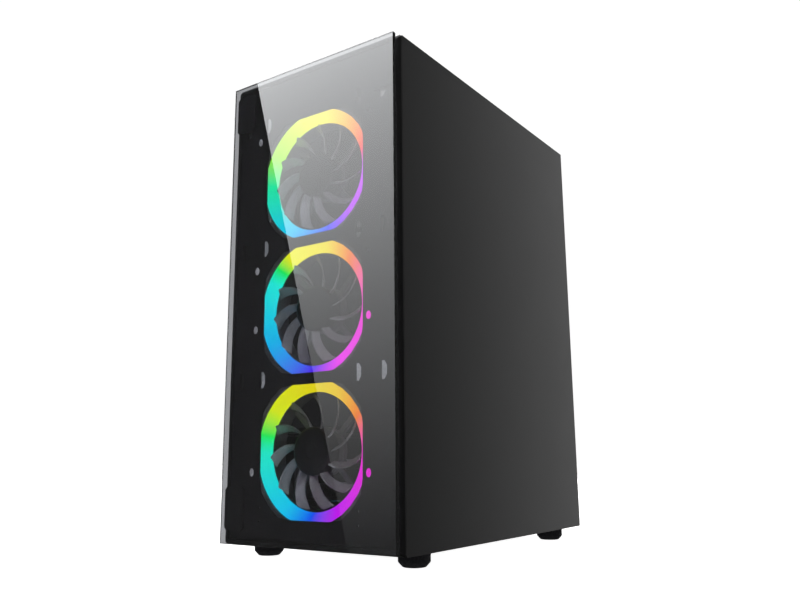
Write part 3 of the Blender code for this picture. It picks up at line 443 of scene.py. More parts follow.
def join_loops(bm, loops):
    """Add the faces between neighbouring loops of points. A loop may be one point."""
    faces = []
    for first, second in zip(loops, loops[1:]):
        count = max(len(first), len(second))
        for i in range(count):
            j = (i + 1) % count
            corners = [first[i % len(first)], first[j % len(first)],
                       second[j % len(second)], second[i % len(second)]]
            faces.append(bm.faces.new(tuple(dict.fromkeys(corners))))
    return faces


def turned_into(bm, profile, centre, axis="Z", count=64):
    """Add a profile of (radius, level) pairs turned about an axis through centre."""
    index = "XYZ".index(axis)
    loops = []
    for radius, level in profile:
        if radius <= 0:
            point = list(centre)
            point[index] += level
            loops.append([bm.verts.new(point)])
            continue
        loop = []
        for i in range(count):
            angle = 2 * pi * i / count
            values = [radius * cos(angle), radius * sin(angle)]
            values.insert(index, level)
            loop.append(bm.verts.new([c + v for c, v in zip(centre, values)]))
        loops.append(loop)
    if profile[0] == profile[-1]:
        bmesh.ops.delete(bm, geom=loops[-1], context="VERTS")
        loops[-1] = loops[0]
    join_loops(bm, loops)


def rounded(points, radius, steps=4):
    """Round the corners of an open profile of 2-D points with short arcs."""
    result = [points[0]]
    for before, corner, after in zip(points, points[1:], points[2:]):
        corner_v = Vector(corner)
        first = Vector(before) - corner_v
        second = Vector(after) - corner_v
        reach = min(radius, first.length * 0.49, second.length * 0.49)
        start = corner_v + first.normalized() * reach
        stop = corner_v + second.normalized() * reach
        for i in range(steps + 1):
            t = i / steps
            point = start * (1 - t) ** 2 + corner_v * 2 * t * (1 - t) + stop * t ** 2
            result.append((point.x, point.y))
    result.append(points[-1])
    return result


def about(value, half):
    """The range that reaches half to each side of a value."""
    return value - half, value + half


def box_into(bm, xs, ys, zs, material_index=0):
    verts = bmesh.ops.create_cube(bm, size=1.0)["verts"]
    bmesh.ops.scale(bm, vec=[b - a for a, b in (xs, ys, zs)], verts=verts)
    bmesh.ops.translate(bm, vec=Vector([a + b for a, b in (xs, ys, zs)]) / 2, verts=verts)
    for vert in verts:
        for face in vert.link_faces:
            face.material_index = material_index


# ---- CAD nodes that stay


CAD_LOOKS = {
    "matt_steel": ["chassis_front"],
    "painted_steel": ["chassis_base", "chassis_top", "chassis_rear", "motherboard_tray",
                      "psu_shroud", "psu_case", "right_side_panel", "door_hinge_strip",
                      "hinge_post"],
    "zinc_steel": ["drive_cage", "io_shield"],
    "cast_aluminium": ["hard_drive"],
    "aluminium": ["heatsink", *MEMORY_NODES],
    "black_plastic": ["solid_state_drive", "front_bezel", "rear_fan_frame", "rear_fan_rotor",
                      "cooler_fan_frame", "graphics_shroud", "graphics_rotor_front",
                      "graphics_rotor_rear", "psu_fan_rotor", "psu_inlet", "door_edge_trim",
                      "door_magnet", "io_cover"],
    "tinted_glass": ["front_glass", "left_glass_door"],
    "rubber": FEET,
    "pad_rubber": [f"glass_pad_{level}_{side}" for level in ("lower", "upper")
                   for side in ("left", "right")],
    "frosted_plastic": [f"fan_frame_{name}" for name in FAN_NAMES],
    "blade_plastic": ["cooler_fan_rotor", *(f"{kind}_{name}" for name in FAN_NAMES
                                            for kind in ("fan_rotor", "light_ring"))],
    "board_upright": ["motherboard"],
    "board_flat": ["graphics_board", "io_board"],
    "button_plastic": ["power_button", "reset_button", "light_button", "thumbscrew_lower",
                       "thumbscrew_upper"],
    "filter_mesh": ["top_filter", "psu_filter"],
    "switch_black": ["psu_switch"],
}

SHARP_NODES = ("front_glass", "left_glass_door", "top_filter", "psu_filter")


def dress_cad_nodes():
    """Give every CAD node its material, and soften the edges of its sheet and mouldings."""
    for label, nodes in CAD_LOOKS.items():
        for node in nodes:
            obj = frame["nodes"][node]
            obj.data.materials.clear()
            obj.data.materials.append(LOOKS[label])
            if node not in SHARP_NODES:
                soften(obj, 0.25, angle=50)


def dress_glass():
    """Give the glass sheets dark ground side rims, leaving the broad faces clear."""
    for node, axis in (("front_glass", 0), ("left_glass_door", 1)):
        mesh = frame["nodes"][node].data
        mesh.materials.append(LOOKS["glass_edge"])
        for polygon in mesh.polygons:
            polygon.material_index = 1 if abs(polygon.normal[axis]) > 0.9 else 0


# ---- feet


def make_feet():
    """Moulded rubber feet with a rounded tread and a recess for the screw."""
    for node in FEET:
        low, high, middle = span(node)
        radius = (high.x - low.x) / 2
        height = high.z
        outline = [(0, 1.8), (3.4, 1.8), (3.9, 0.0), (radius - 4.0, 0.0),
                   (radius - 0.2, 4.0), (radius - 0.2, height - 2.6), (radius, height - 2.4),
                   (radius, height), (0, height)]
        bm = bmesh.new()
        turned_into(bm, rounded(outline, 0.8), (middle.x, middle.y, 0), "Z", 72)
        finish_piece(f"{node}_rubber", bm, "rubber", (node,), 40)


# ---- fans


def fan_axis(body):
    """Where a fan's spin axis passes, in millimetres, and the way its axis points."""
    joint = next(joint for joint in frame["joints"] if joint["child"] == body)
    return Vector(joint["pos_m"]) / MM, Vector(joint["axis"])


BLADE_TOP = -2.2
BLADE_HALF = 0.55


def fan_rotor(name, node, body, plastic, blades, hub, tip, shaft, twist, sweep):
    """A moulded rotor: domed cap, curved blades of even thickness and its shaft.

    It is built facing local +Z and then turned to face the way its axis points.
    """
    low, high, _ = span(node)
    centre, axis = fan_axis(body)
    if abs(axis.z) > 0.5:
        depth_all = high.z - low.z
        front = Vector((centre.x, centre.y, low.z))
        turn = Matrix.Rotation(pi, 4, "X")
    else:
        depth_all = high.y - low.y
        front = Vector((centre.x, low.y, centre.z))
        turn = Matrix.Rotation(pi / 2, 4, "X")
    depth = depth_all - shaft
    bm = bmesh.new()
    cap = [(0, -0.55), (hub * 0.30, -0.55), (hub * 0.34, -0.25), (hub * 0.90, -0.1),
           (hub, -1.3), (hub, -depth), (hub - 1.4, -depth), (hub - 1.4, -2.4), (3.0, -2.6),
           (3.0, -depth + 0.2), (1.95, -depth - 0.2), (1.95, -depth_all), (0, -depth_all)]
    turned_into(bm, rounded(cap, 0.7, 3), (0, 0, 0), "Z", 72)
    for face in bm.faces:
        face.material_index = 1
    spans, chords = 14, 6

    def blade_point(base, side, s, t):
        """A point of a blade, s of the way out to its tip and t of the way across it."""
        radius = hub - 0.6 + (tip - hub + 0.6) * s
        width = radians(twist * (0.92 + 0.16 * s))
        angle = base + radians(sweep) * s ** 1.3 + width * (t ** 1.12) + side / radius
        level = BLADE_TOP - 0.48 * depth * (t ** 0.92) + 0.35 * sin(pi * s)
        return radius * cos(angle), radius * sin(angle), level

    for b in range(blades):
        base = 2 * pi * b / blades
        upper, lower = ([[bm.verts.new(blade_point(base, side, i / spans, k / chords))
                          for k in range(chords + 1)] for i in range(spans + 1)]
                        for side in (BLADE_HALF, -BLADE_HALF))
        for rows in (upper, lower):
            for first, second in zip(rows, rows[1:]):
                for k in range(chords):
                    bm.faces.new((first[k], first[k + 1], second[k + 1], second[k]))
        for i in range(spans):
            for k in (0, chords):
                bm.faces.new((upper[i][k], upper[i + 1][k], lower[i + 1][k], lower[i][k]))
        for k in range(chords):
            for i in (0, spans):
                bm.faces.new((upper[i][k], upper[i][k + 1], lower[i][k + 1], lower[i][k]))
    bmesh.ops.transform(bm, matrix=Matrix.Translation(front) @ turn, verts=bm.verts)
    finish_piece(name, bm, (plastic, "hub_plastic"), (node,), 38, body=body)


RING_OUTER = 60.0
RING_SHIFT = 0.8
RING_INNER = 49.6


def pipe_lens(bm, x, z):
    """Add the oval lens of a light pipe on the front plate."""
    y = span("chassis_front")[0].y - 0.3
    first = len(bm.verts)
    outline = [(0, -0.5), (1.6, -0.45), (2.3, 0.0), (2.3, 0.3), (0, 0.3)]
    turned_into(bm, outline, (x, y, z), "Y", 24)
    bm.verts.ensure_lookup_table()
    bmesh.ops.scale(bm, vec=(1, 1, 1.5), space=Matrix.Translation((-x, -y, -z)),
                    verts=bm.verts[first:])


def light_ring(name):
    """The glowing diffuser: a shallow cone, flattened at the fan's sides, and a light pipe."""
    node = f"light_ring_{name}"
    low, high, middle = span(node)
    flat = (high.x - low.x) / 2
    front, back = low.y, high.y
    profile = [(RING_OUTER - 0.3, RING_SHIFT, front), (RING_OUTER, RING_SHIFT, front + 0.3),
               (RING_OUTER, RING_SHIFT, front + 2.0), (RING_INNER, 0, back),
               (RING_INNER, 0, back - 2.0), (RING_INNER + 0.3, 0, back - 2.4),
               (RING_OUTER - 3.0, RING_SHIFT, front + 0.1)]
    count = 200
    bm = bmesh.new()
    loops = []
    for radius, shift, y in profile:
        turns = [2 * pi * i / count for i in range(count)]
        points = [(shift + radius * cos(turn), radius * sin(turn)) for turn in turns]
        loops.append([bm.verts.new((middle.x + max(-flat, min(flat, u)), y,
                                    middle.z + max(-flat, min(flat, v)))) for u, v in points])
    join_loops(bm, loops + loops[:1])
    if name in LIT_PIPES:
        z = LIT_PIPES[name]
        box_into(bm, (middle.x + flat - 0.5, 66.5), (front + 0.2, front + 2.0),
                 about(z, 3.5))
        pipe_lens(bm, LIT_PIPE_X, z)
    finish_piece(f"light_ring_glow_{name}", bm, node, (node,), 40)


def make_fans():
    """The rotors, the light rings, the unlit pipe lenses and the pale plastic behind the front
    plate's openings, the last two glowing with painted light.
    """
    # Unlit pipe lenses and pale slot backs, all given a painted grey glow by their material's
    # emission.
    dim = bmesh.new()
    for z in UNLIT_PIPES:
        pipe_lens(dim, UNLIT_PIPE_X, z)
    plate_back = span("chassis_front")[0].y + 1.2
    lowest = FRONT_SLOTS[0]
    box_into(dim, OUTER_SLOT, (plate_back, plate_back + 2.0), about(lowest, 10))
    for z in FRONT_SLOTS:
        for x in (-INNER_SLOT_X, INNER_SLOT_X) if z == lowest else (-INNER_SLOT_X,):
            box_into(dim, about(x, 2.2), (plate_back - 0.3, plate_back - 0.05), about(z, 7))
    finish_piece("unlit_lenses_painted_glow", dim, "lens_plastic", (), 40)
    for name in FAN_NAMES:
        fan_rotor(f"fan_blades_{name}", f"fan_rotor_{name}", f"{name}_fan", "blade_plastic",
                  blades=11, hub=20.0, tip=48.0, shaft=9.5, twist=9, sweep=22)
        light_ring(name)
    for kind, plastic, shaft in (("rear", "black_plastic", 6.0), ("cooler", "blade_plastic", 6.0),
                                 ("psu", "black_plastic", 3.9)):
        fan_rotor(f"{kind}_fan_blades", f"{kind}_fan_rotor", f"{kind}_fan", plastic,
                  blades=7, hub=20.0, tip=55.0, shaft=shaft, twist=-30, sweep=20)
    for place in ("front", "rear"):
        fan_rotor(f"graphics_blades_{place}", f"graphics_rotor_{place}",
                  f"graphics_fan_{place}", "black_plastic",
                  blades=9, hub=16.0, tip=43.5, shaft=0.8, twist=-24, sweep=18)


# ---- filters


def woven_screen(bm, xs, ys, z, pitch, wire):
    """Crossing square wires across a frame."""
    wide, deep = xs[1] - xs[0], ys[1] - ys[0]
    count = int(wide / pitch)
    for i in range(1, count):
        box_into(bm, about(xs[0] + wide * i / count, wire / 2), ys, (z, z + wire))
    count = int(deep / pitch)
    for i in range(1, count):
        box_into(bm, xs, about(ys[0] + deep * i / count, wire / 2),
                 (z + wire * 0.3, z + wire * 1.3))


def make_filters():
    """Dust screens: a rim with three bars and a woven mesh."""
    for node, body, rim in (("top_filter", "top_dust_filter", 4.5),
                            ("psu_filter", "psu_dust_filter", 4.0)):
        low, high, _ = span(node)
        rear = high.y if node == "top_filter" else high.y - 6.0
        top = low.z + 1.2
        bm = bmesh.new()
        inner_x = (low.x + rim, high.x - rim)
        inner_y = (low.y + rim, rear - rim)
        for xs, ys in (((low.x, high.x), (low.y, inner_y[0])),
                       ((low.x, high.x), (inner_y[1], rear)),
                       ((low.x, inner_x[0]), inner_y), ((inner_x[1], high.x), inner_y)):
            box_into(bm, xs, ys, (low.z, top))
        middle = (inner_x[0] + inner_x[1]) / 2
        box_into(bm, about(middle, 1), inner_y, (low.z, top - 0.2))
        for share in (1 / 3, 2 / 3):
            y = inner_y[0] + (inner_y[1] - inner_y[0]) * share
            box_into(bm, inner_x, about(y, 1), (low.z, top - 0.2))
        woven_screen(bm, inner_x, inner_y, low.z + 0.3, 2.4, 0.45)
        if node == "psu_filter":
            box_into(bm, (-14, 14), (rear - 1, high.y), (low.z + 0.1, high.z))
        finish_piece(f"{node}_screen", bm, "filter_mesh", (node,), body=body)


# ---- small hardware


def aimed(at, facing):
    """A matrix that carries local +Z onto a direction at a place."""
    turn = Vector(facing).to_track_quat("Z", "Y").to_matrix().to_4x4()
    return Matrix.Translation(at) @ turn


def disc_into(bm, levels, at, facing, count=24, shape=None, material_index=0):
    """Add a closed lathe form of (radius, level) pairs that faces a direction.

    shape changes the radius of each point: it is given the level's index and the point's.
    """
    matrix = aimed(at, facing)
    loops = []
    for row, (radius, level) in enumerate(levels):
        loop = []
        for i in range(count):
            reach = radius * (shape(row, i) if shape else 1.0)
            angle = 2 * pi * i / count
            loop.append(bm.verts.new(matrix @ Vector((reach * cos(angle), reach * sin(angle),
                                                      level))))
        loops.append(loop)
    caps = [bm.faces.new(loops[0]), bm.faces.new(loops[-1][::-1])]
    for face in caps + join_loops(bm, loops):
        face.material_index = material_index


def screw_into(bm, at, facing, radius):
    """Add a pan-head screw with a cross recess."""
    def cross(row, i):
        return 0.38 if row < 2 and i % 6 else 1.0

    height = radius * 0.45
    disc_into(bm, [(radius * 0.42, height * 0.35), (radius * 0.56, height),
                   (radius * 0.72, height), (radius * 0.95, height * 0.6),
                   (radius, height * 0.2), (radius, -0.3)], at, facing, 24, cross)


def honeycomb_into(bm, xs, zs, y, thickness, pitch, wire):
    """Add an upright pierced honeycomb sheet."""
    cell = pitch / 2 / cos(pi / 6)
    hole = cell - wire / 2 / cos(pi / 6)
    row_step = cell * 1.5
    section = ((cell, y), (hole, y), (hole, y + thickness), (cell, y + thickness))
    for row in range(int((zs[1] - zs[0]) / row_step)):
        for column in range(int((xs[1] - xs[0]) / pitch)):
            x = xs[0] + pitch * (column + 0.5 + 0.5 * (row % 2))
            z = zs[0] + row_step * (row + 0.7)
            if x > xs[1] - pitch * 0.4:
                continue
            rings = [[bm.verts.new((x + radius * sin(pi / 3 * k), depth,
                                    z + radius * cos(pi / 3 * k))) for k in range(6)]
                     for radius, depth in section]
            join_loops(bm, rings + rings[:1])


# ---- cooler, board and memory


def make_heatsink():
    """Tower cooler: a stack of thin fins on round heat pipes over a contact block."""
    low, high, middle = span("heatsink")
    bm = bmesh.new()
    fins, teeth = 42, 6
    first, last = low.x + 4.0, 32.0
    outline = [(low.y + 2.0, low.z + 0.4), (high.y - 2.0, low.z + 0.4)]
    for k in range(teeth):
        z = low.z + 0.4 + (high.z - low.z - 0.8) * (k + 0.5) / teeth
        outline += [(high.y - 0.4, z - 3.5), (high.y - 0.4, z + 3.5),
                    (high.y - 2.2, z + 6.0), (high.y - 2.2, z + 12.0)]
    outline = outline[:-2] + [(high.y - 2.0, high.z - 0.4), (low.y + 2.0, high.z - 0.4),
                              (low.y + 0.4, high.z - 4.0), (low.y + 0.4, low.z + 4.0)]
    for i in range(fins):
        x = first + (last - first) * i / (fins - 1)
        near = [bm.verts.new((x - 0.2, y, z)) for y, z in outline]
        far = [bm.verts.new((x + 0.2, y, z)) for y, z in outline]
        bm.faces.new(near)
        bm.faces.new(far[::-1])
        join_loops(bm, [near, far])
    for y in about(middle.y, 9):
        for z in about(middle.z, 14):
            disc_into(bm, [(1.2, 4.0), (2.4, 3.3), (2.9, 1.8), (2.9, low.x - high.x + 10)],
                      (low.x + 4, y, z), (-1, 0, 0), 20, material_index=1)
    box_into(bm, (high.x - 14, high.x), about(middle.y, 20),
             about(middle.z, 20), 2)
    box_into(bm, (high.x - 17, high.x - 14), about(middle.y, 5),
             about(middle.z, 34), 2)
    for z in about(middle.z, 30):
        disc_into(bm, [(3.4, 5.0), (3.4, 0.0), (2.2, -0.2), (2.2, -12.0)],
                  (high.x - 17, middle.y, z), (-1, 0, 0), 16, material_index=1)
    finish_piece("heatsink_fins", bm, ("fin_metal", "nickel", "aluminium"),
                 ("heatsink",), 35)


def make_memory():
    """Memory modules: a ribbed heat spreader round a narrow board."""
    for node in MEMORY_NODES:
        low, high, middle = span(node)
        bm = bmesh.new()
        box_into(bm, (low.x + 6, high.x), about(middle.y, 0.7),
                 (low.z + 1, high.z - 1), 1)
        box_into(bm, (low.x + 5, high.x - 5), (low.y + 0.4, high.y - 0.4), (low.z, high.z))
        count = 13
        step = (high.z - low.z) / count
        for k in range(count):
            z = low.z + step * (k + 0.5)
            height = 5.0 if k % 3 else 3.0
            box_into(bm, (low.x + 5 - height, low.x + 5.5), (low.y + 0.6, high.y - 0.6),
                     about(z, step * 0.36))
            box_into(bm, (low.x + 9, high.x - 8), (low.y, high.y),
                     about(z, step * 0.30))
        finish_piece(f"{node}_spreader", bm, ("dark_aluminium", "board_upright"),
                     (node,), bevel=0.25)


def make_board_pieces():
    """Sockets, coils, capacitors, heat spreaders and connectors standing on the board."""
    front = span("motherboard")[0].y
    rear = span("chassis_rear")[1].y
    face = BOARD_FACE
    cpu_y, cpu_z = rear - 76.0, 345.0

    def stand(bm, height, ys, zs, foot=0.0):
        box_into(bm, (face - height, face - foot), ys, zs)

    black, steel, metal, sink = (bmesh.new() for _ in range(4))
    for index in range(4):
        y = cpu_y - 90 + 9.5 * index
        for edge in (y - 2.6, y + 2.6):
            stand(black, 6.6, about(edge, 0.7), (cpu_z - 68.4, cpu_z + 66.4))
        for z in (cpu_z - 70.5, cpu_z + 68.5):
            stand(black, 9.5, about(y, 3.2), about(z, 2.2))
    for slot in (0, 3, 5):
        z = slot_height(slot) - 5.0
        for edge in (z - 3.0, z + 3.0):
            stand(steel if slot == 0 else black, 7.6, (rear - 148.3, rear - 57.7),
                  about(edge, 0.75))
        stand(black, 8.5, (rear - 156, rear - 148.6), about(z, 3.5))
    for k in range(12):
        z = 304.0 + 4.0 * k
        for y in (front + 5.4, front + 9.6):
            stand(black, 12.8, about(y, 1.7), about(z, 1.7), 11.6)
    for k in range(3):
        stand(black, 9.0, (front + 1.0, front + 9.0), (196.0 + 18.0 * k, 209.0 + 18.0 * k))
    for y in (cpu_y - 100, cpu_y - 58, cpu_y + 34):
        for k in range(3):
            stand(steel, 8.5, (y - 0.35 + 2.5 * k, y + 0.35 + 2.5 * k), (414.6, 415.3))
        stand(black, 3.0, (y - 2, y + 7), (412.0, 417.0))
    for k in range(24):
        y = front + 14 + 2.54 * k
        for z in (119.0, 121.54):
            stand(steel, 8.5, about(y, 0.32), about(z, 0.32))
    stand(black, 2.5, (front + 12.5, front + 74.5), (117.5, 123.0))

    for k in range(7):
        stand(steel, 5.5, (cpu_y + 26.0, cpu_y + 33.0), about(cpu_z - 24 + 11.0 * k, 4.2))
    for k in range(5):
        stand(steel, 5.5, about(cpu_y - 26 + 12.5 * k, 4.2), (cpu_z + 30.0, cpu_z + 37.0))
    caps = [(cpu_y - 34.0 + 9.0 * (k % 3), cpu_z - 40.0 - 9.0 * (k // 3)) for k in range(6)]
    caps += [(cpu_y + 18.0, cpu_z - 38.0 - 9.0 * k) for k in range(4)]
    caps += [(front + 20.0 + 9.0 * k, 243.0) for k in range(4)]
    caps += [(rear - 40.0, 236.0 - 9.0 * k) for k in range(5)]
    for y, z in caps:
        disc_into(metal, [(2.4, 8.0), (3.0, 7.4), (3.1, 0.6), (3.1, -0.2)],
                  (face, y, z), (-1, 0, 0), 18)

    for k in range(9):
        box_into(sink, about(face - 7.0 - 2.2 * k, 0.5), (cpu_y - 30.0, cpu_y + 34.0),
                 (cpu_z + 40.0, 408.0))
    stand(sink, 26.0, (cpu_y - 26.0, cpu_y + 30.0), (cpu_z + 44.0, 404.0), 5.0)
    stand(sink, 12.0, (rear - 146, rear - 104), (142, 184), 5.0)
    for k in range(7):
        stand(sink, 14.0, about(rear - 141 + 5.4 * k, 1.5), (145, 181), 11.5)
    stand(sink, 8.0, (rear - 146, rear - 60), (200.0, 221.0), 1.0)
    for k in range(6):
        stand(sink, 8.8, about(rear - 138 + 14.0 * k, 4.5), (203.0, 218.0), 7.5)
    disc_into(metal, [(9.2, 2.6), (10.0, 2.2), (10.0, -0.2)], (face, rear - 90, 235.0),
              (-1, 0, 0), 40)
    for bm, name, look, smooth in ((black, "board_sockets", "black_plastic", None),
                                   (steel, "board_pins_and_coils", "coil_grey", None),
                                   (metal, "board_capacitors", "nickel", 35),
                                   (sink, "board_heat_spreaders", "dark_aluminium", None)):
        finish_piece(name, bm, look, (), smooth, 0.15)


# ---- rear wall


# The lowest and highest edge and the height off the board of each row of ports. The last row
# holds round jacks.
PORT_ROWS = ((266, 290, 38), (294, 318, 30), (322, 346, 30), (350, 366, 14), (372, 410, 26))


def make_rear_ports():
    """Metal sockets with dark insides and plastic tongues behind the port plate."""
    rear = span("chassis_rear")[1].y
    shell, dark, tongue = bmesh.new(), bmesh.new(), bmesh.new()
    back = rear - 2.0
    jack = [(2.0, -1.0), (2.2, 2.4), (3.6, 2.4), (4.4, 1.6), (4.4, -0.5)]
    for z0, z1, height in PORT_ROWS:
        x0, x1 = BOARD_FACE - height + 2.6, BOARD_FACE - 2.6
        box_into(dark, (x0, x1), (rear - 5.0, rear - 4.0), (z0 + 2.6, z1 - 2.6))
        if (z0, z1, height) == PORT_ROWS[-1]:
            for z in (z0 + 7.5, z0 + 19.0, z0 + 30.5):
                for x in (BOARD_FACE - 7.6, BOARD_FACE - 18.6):
                    disc_into(shell, jack, (x, rear - 4.2, z), (0, 1, 0), 28)
            continue
        slots = 2 if height > 20 else 1
        for k in range(slots):
            low_x = x0 + 0.8 + (x1 - x0) / slots * k
            high_x = low_x + (x1 - x0) / slots - 1.6
            for xs, zs in (((low_x, high_x), (z0 + 3.4, z0 + 4.0)),
                           ((low_x, high_x), (z1 - 4.0, z1 - 3.4)),
                           ((low_x, low_x + 0.6), (z0 + 3.4, z1 - 3.4)),
                           ((high_x - 0.6, high_x), (z0 + 3.4, z1 - 3.4))):
                box_into(shell, xs, (rear - 4.2, back), zs)
            box_into(tongue, (low_x + 2.2, high_x - 4.6), (rear - 4.2, back - 0.5),
                     (z0 + 5.4, z1 - 5.4))
    finish_piece("rear_port_shells", shell, "nickel", (), 35)
    finish_piece("rear_port_wells", dark, "switch_black")
    finish_piece("rear_port_tongues", tongue, "port_blue", bevel=0.1)


def make_rear_details():
    """Blank plates over the free slots, their screws, and the screws of fan and supply."""
    rear = span("chassis_rear")[1].y
    plates, screws = bmesh.new(), bmesh.new()
    for slot in range(2, 7):
        z = slot_height(slot)
        ys = (rear - 2.3, rear - 1.3)
        for zs in ((z + 5.4, z + 9.2), (z - 9.2, z - 5.4)):
            box_into(plates, (-38, 73), ys, zs)
        for k in range(28):
            box_into(plates, about(-37.0 + 109.0 * k / 27, 1.0), ys, about(z, 5.5))
    for slot in range(7):
        screw_into(screws, (-43.0, rear, slot_height(slot)), (0, 1, 0), 3.1)
    fan = fan_axis("rear_fan")[0]
    for x in (fan.x - FAN_SCREW, fan.x + FAN_SCREW):
        for z in (fan.z - FAN_SCREW, fan.z + FAN_SCREW):
            screw_into(screws, (x, rear, z), (0, 1, 0), 3.6)
    low, high, _ = span("psu_case")
    for x, z in ((low.x + 8, high.z - 8), (high.x - 8, high.z - 14), (low.x + 8, low.z + 8),
                 (high.x - 34, low.z + 4.6)):
        screw_into(screws, (x, rear, z), (0, 1, 0), 3.1)
    finish_piece("slot_blanks", plates, "painted_steel")
    finish_piece("rear_screws", screws, "black_metal", (), 35)

    grille = bmesh.new()
    honeycomb_into(grille, (low.x + 82, high.x - 7), (low.z + 11, high.z - 16), high.y - 0.55,
                   thickness=0.5, pitch=5.4, wire=1.1)
    finish_piece("psu_honeycomb", grille, "painted_steel")


def make_supply_circuit():
    """The power supply's circuit board hanging under its lid, with its largest parts."""
    low, high, _ = span("psu_case")
    top = high.z - 5.0
    board, parts = bmesh.new(), bmesh.new()
    box_into(board, (low.x + 5, high.x - 5), (low.y + 6, high.y - 24), (top - 1.6, top))
    for y in (low.y + 34, low.y + 88):
        box_into(parts, (low.x + 14, high.x - 40), about(y, 1.5), (top - 42, top - 1))
        for k in range(8):
            x = low.x + 18 + 12.0 * k
            box_into(parts, about(x, 0.9), about(y, 5), (top - 42, top - 8))
    cans = [(high.x - 24, low.y + 30 + 28 * k, 12.0, 40.0) for k in range(2)]
    cans += [(low.x + 26 + 14 * k, low.y + 108, 5.0, 20.0) for k in range(3)]
    for x, y, radius, length in cans:
        disc_into(parts, [(radius * 0.8, length), (radius, length - 1.5), (radius, 0.0)],
                  (x, y, top - 1.0), (0, 0, -1), 24, material_index=1)
    for x, y, size in ((low.x + 34, low.y + 61, 30.0), (low.x + 78, low.y + 61, 24.0),
                       (high.x - 26, low.y + 94, 26.0)):
        box_into(parts, about(x, size / 2), about(y, 10), (top - size, top - 1), 2)
    finish_piece("supply_board", board, "board_flat")
    finish_piece("supply_parts", parts, ("aluminium", "black_plastic", "coil_grey"),
                 (), 35, 0.3)


def make_thumbscrews():
    """Knurled caps on the side cover's two screws."""
    for place in ("lower", "upper"):
        node = f"thumbscrew_{place}"
        low, high, middle = span(node)
        radius, height = (high.x - low.x) / 2, high.y - low.y

        def knurl(row, i):
            return 0.95 if row in (3, 4) and i % 2 else 1.0

        bm = bmesh.new()
        disc_into(bm, [(radius * 0.30, height * 0.62), (radius * 0.36, height),
                       (radius * 0.78, height), (radius, height * 0.82),
                       (radius, height * 0.16), (radius * 0.9, 0.0)],
                  (middle.x, low.y, middle.z), (0, 1, 0), 56, knurl)
        finish_piece(f"{node}_knurled", bm, "black_metal", (node,), 30,
                     body="side_panel")


# ---- graphics card and tray


def make_graphics_details():
    """Back plate lines and screws, bracket connectors and shroud ridges."""
    rear = span("chassis_rear")[1].y
    low = span("graphics_board")[0]
    plate_top = 233.8
    ridges, screws, ports, bracket = (bmesh.new() for _ in range(4))
    y0 = rear - 226
    for k in range(9):
        y = y0 + 22 + 9.0 * k
        box_into(ridges, (low.x + 12 + 2.5 * k, 40 - 2.5 * k), about(y, 1.4),
                 (plate_top - 0.3, plate_top + 0.7))
    for ys in ((rear - 96, rear - 90), (rear - 20, rear - 18)):
        box_into(ridges, (low.x + 6, 52), ys, (plate_top - 0.3, plate_top + 0.9))
    for xs, ys in (((low.x + 8, 50), (y0 + 8, rear - 24)), ((-6, 26), (rear - 82, rear - 50))):
        for y in ys:
            for x in xs:
                screw_into(screws, (x, y, plate_top), (0, 0, 1), 2.2)
    shroud_low, shroud_high, _ = span("graphics_shroud")
    for z in (shroud_low.z + 6, shroud_low.z + 10.6):
        box_into(ridges, (shroud_low.x - 0.5, shroud_low.x + 0.6),
                 (shroud_low.y + 14, shroud_high.y - 14), about(z, 0.8))
    box_into(ridges, (shroud_low.x + 4, shroud_low.x + 20), (y0 + 60, y0 + 78),
             (plate_top - 0.4, plate_top + 4.0))
    for x in (8.0, 30.0, 52.0):
        box_into(ports, about(x, 8.0), (rear - 4.6, rear - 1.6), about(SLOT_TOP - 2.0, 2.8))
    for k in range(14):
        box_into(ports, about(-28.0 + 7.0 * k, 2.0), (rear - 3.0, rear - 2.5), (210.5, 220.5))
    box_into(bracket, (low.x, 73.0), (rear - 3.6, rear - 2.85), (207.5, 242.5))
    finish_piece("graphics_bracket", bracket, "zinc_steel", bevel=0.2)
    finish_piece("graphics_ridges", ridges, "button_plastic", bevel=0.2)
    finish_piece("graphics_screws", screws, "nickel", (), 35)
    finish_piece("graphics_ports", ports, "switch_black", bevel=0.2)


def pad_ranges(low, high):
    """The reach of a fan's two corner pads along one side, each with its outer edge."""
    first, last = (low - 0.4, low + 14), (high - 14, high + 0.4)
    return (first, (first[0], first[0] + 1.6)), (last, (last[1] - 1.6, last[1]))


def make_tray_details():
    """Rubber rims round the cable windows, corner pads on the fans and drive screws."""
    low, high, _ = span("motherboard_tray")
    front = span("front_glass")[0].y
    rims = bmesh.new()
    xs, (near, far) = (low.x - 1.2, high.x + 1.0), (front + 62, front + 84)
    wide = 2.6
    for z in WINDOWS:
        top = z + WINDOW_HEIGHT
        for ys in ((near - wide, near + 1.2), (far - 1.2, far + wide)):
            box_into(rims, xs, ys, (z - wide, top + wide))
        for zs in ((z - wide, z + 1.2), (top - 1.2, top + wide)):
            box_into(rims, xs, (near, far), zs)
    for node in ("rear_fan_frame", "cooler_fan_frame"):
        low, high, _ = span(node)
        for xs, edge_x in pad_ranges(low.x, high.x):
            for zs, edge_z in pad_ranges(low.z, high.z):
                for y in (low.y - 0.3, high.y - 4.2):
                    box_into(rims, edge_x, (y, y + 4.5), zs)
                    box_into(rims, xs, (y, y + 4.5), edge_z)
    finish_piece("cable_rims", rims, "rubber", bevel=0.3)

    screws = bmesh.new()
    low, high, middle = span("hard_drive")
    for x in (low.x + 6, high.x - 6):
        for y in (low.y + 16, middle.y, high.y - 12):
            screw_into(screws, (x, y, high.z - 1.1), (0, 0, 1), 2.4)
    low, high, _ = span("solid_state_drive")
    for x in (low.x + 4, high.x - 4):
        for y in (low.y + 14, high.y - 10):
            screw_into(screws, (x, y, high.z), (0, 0, 1), 2.0)
    finish_piece("drive_screws", screws, "nickel", (), 35)


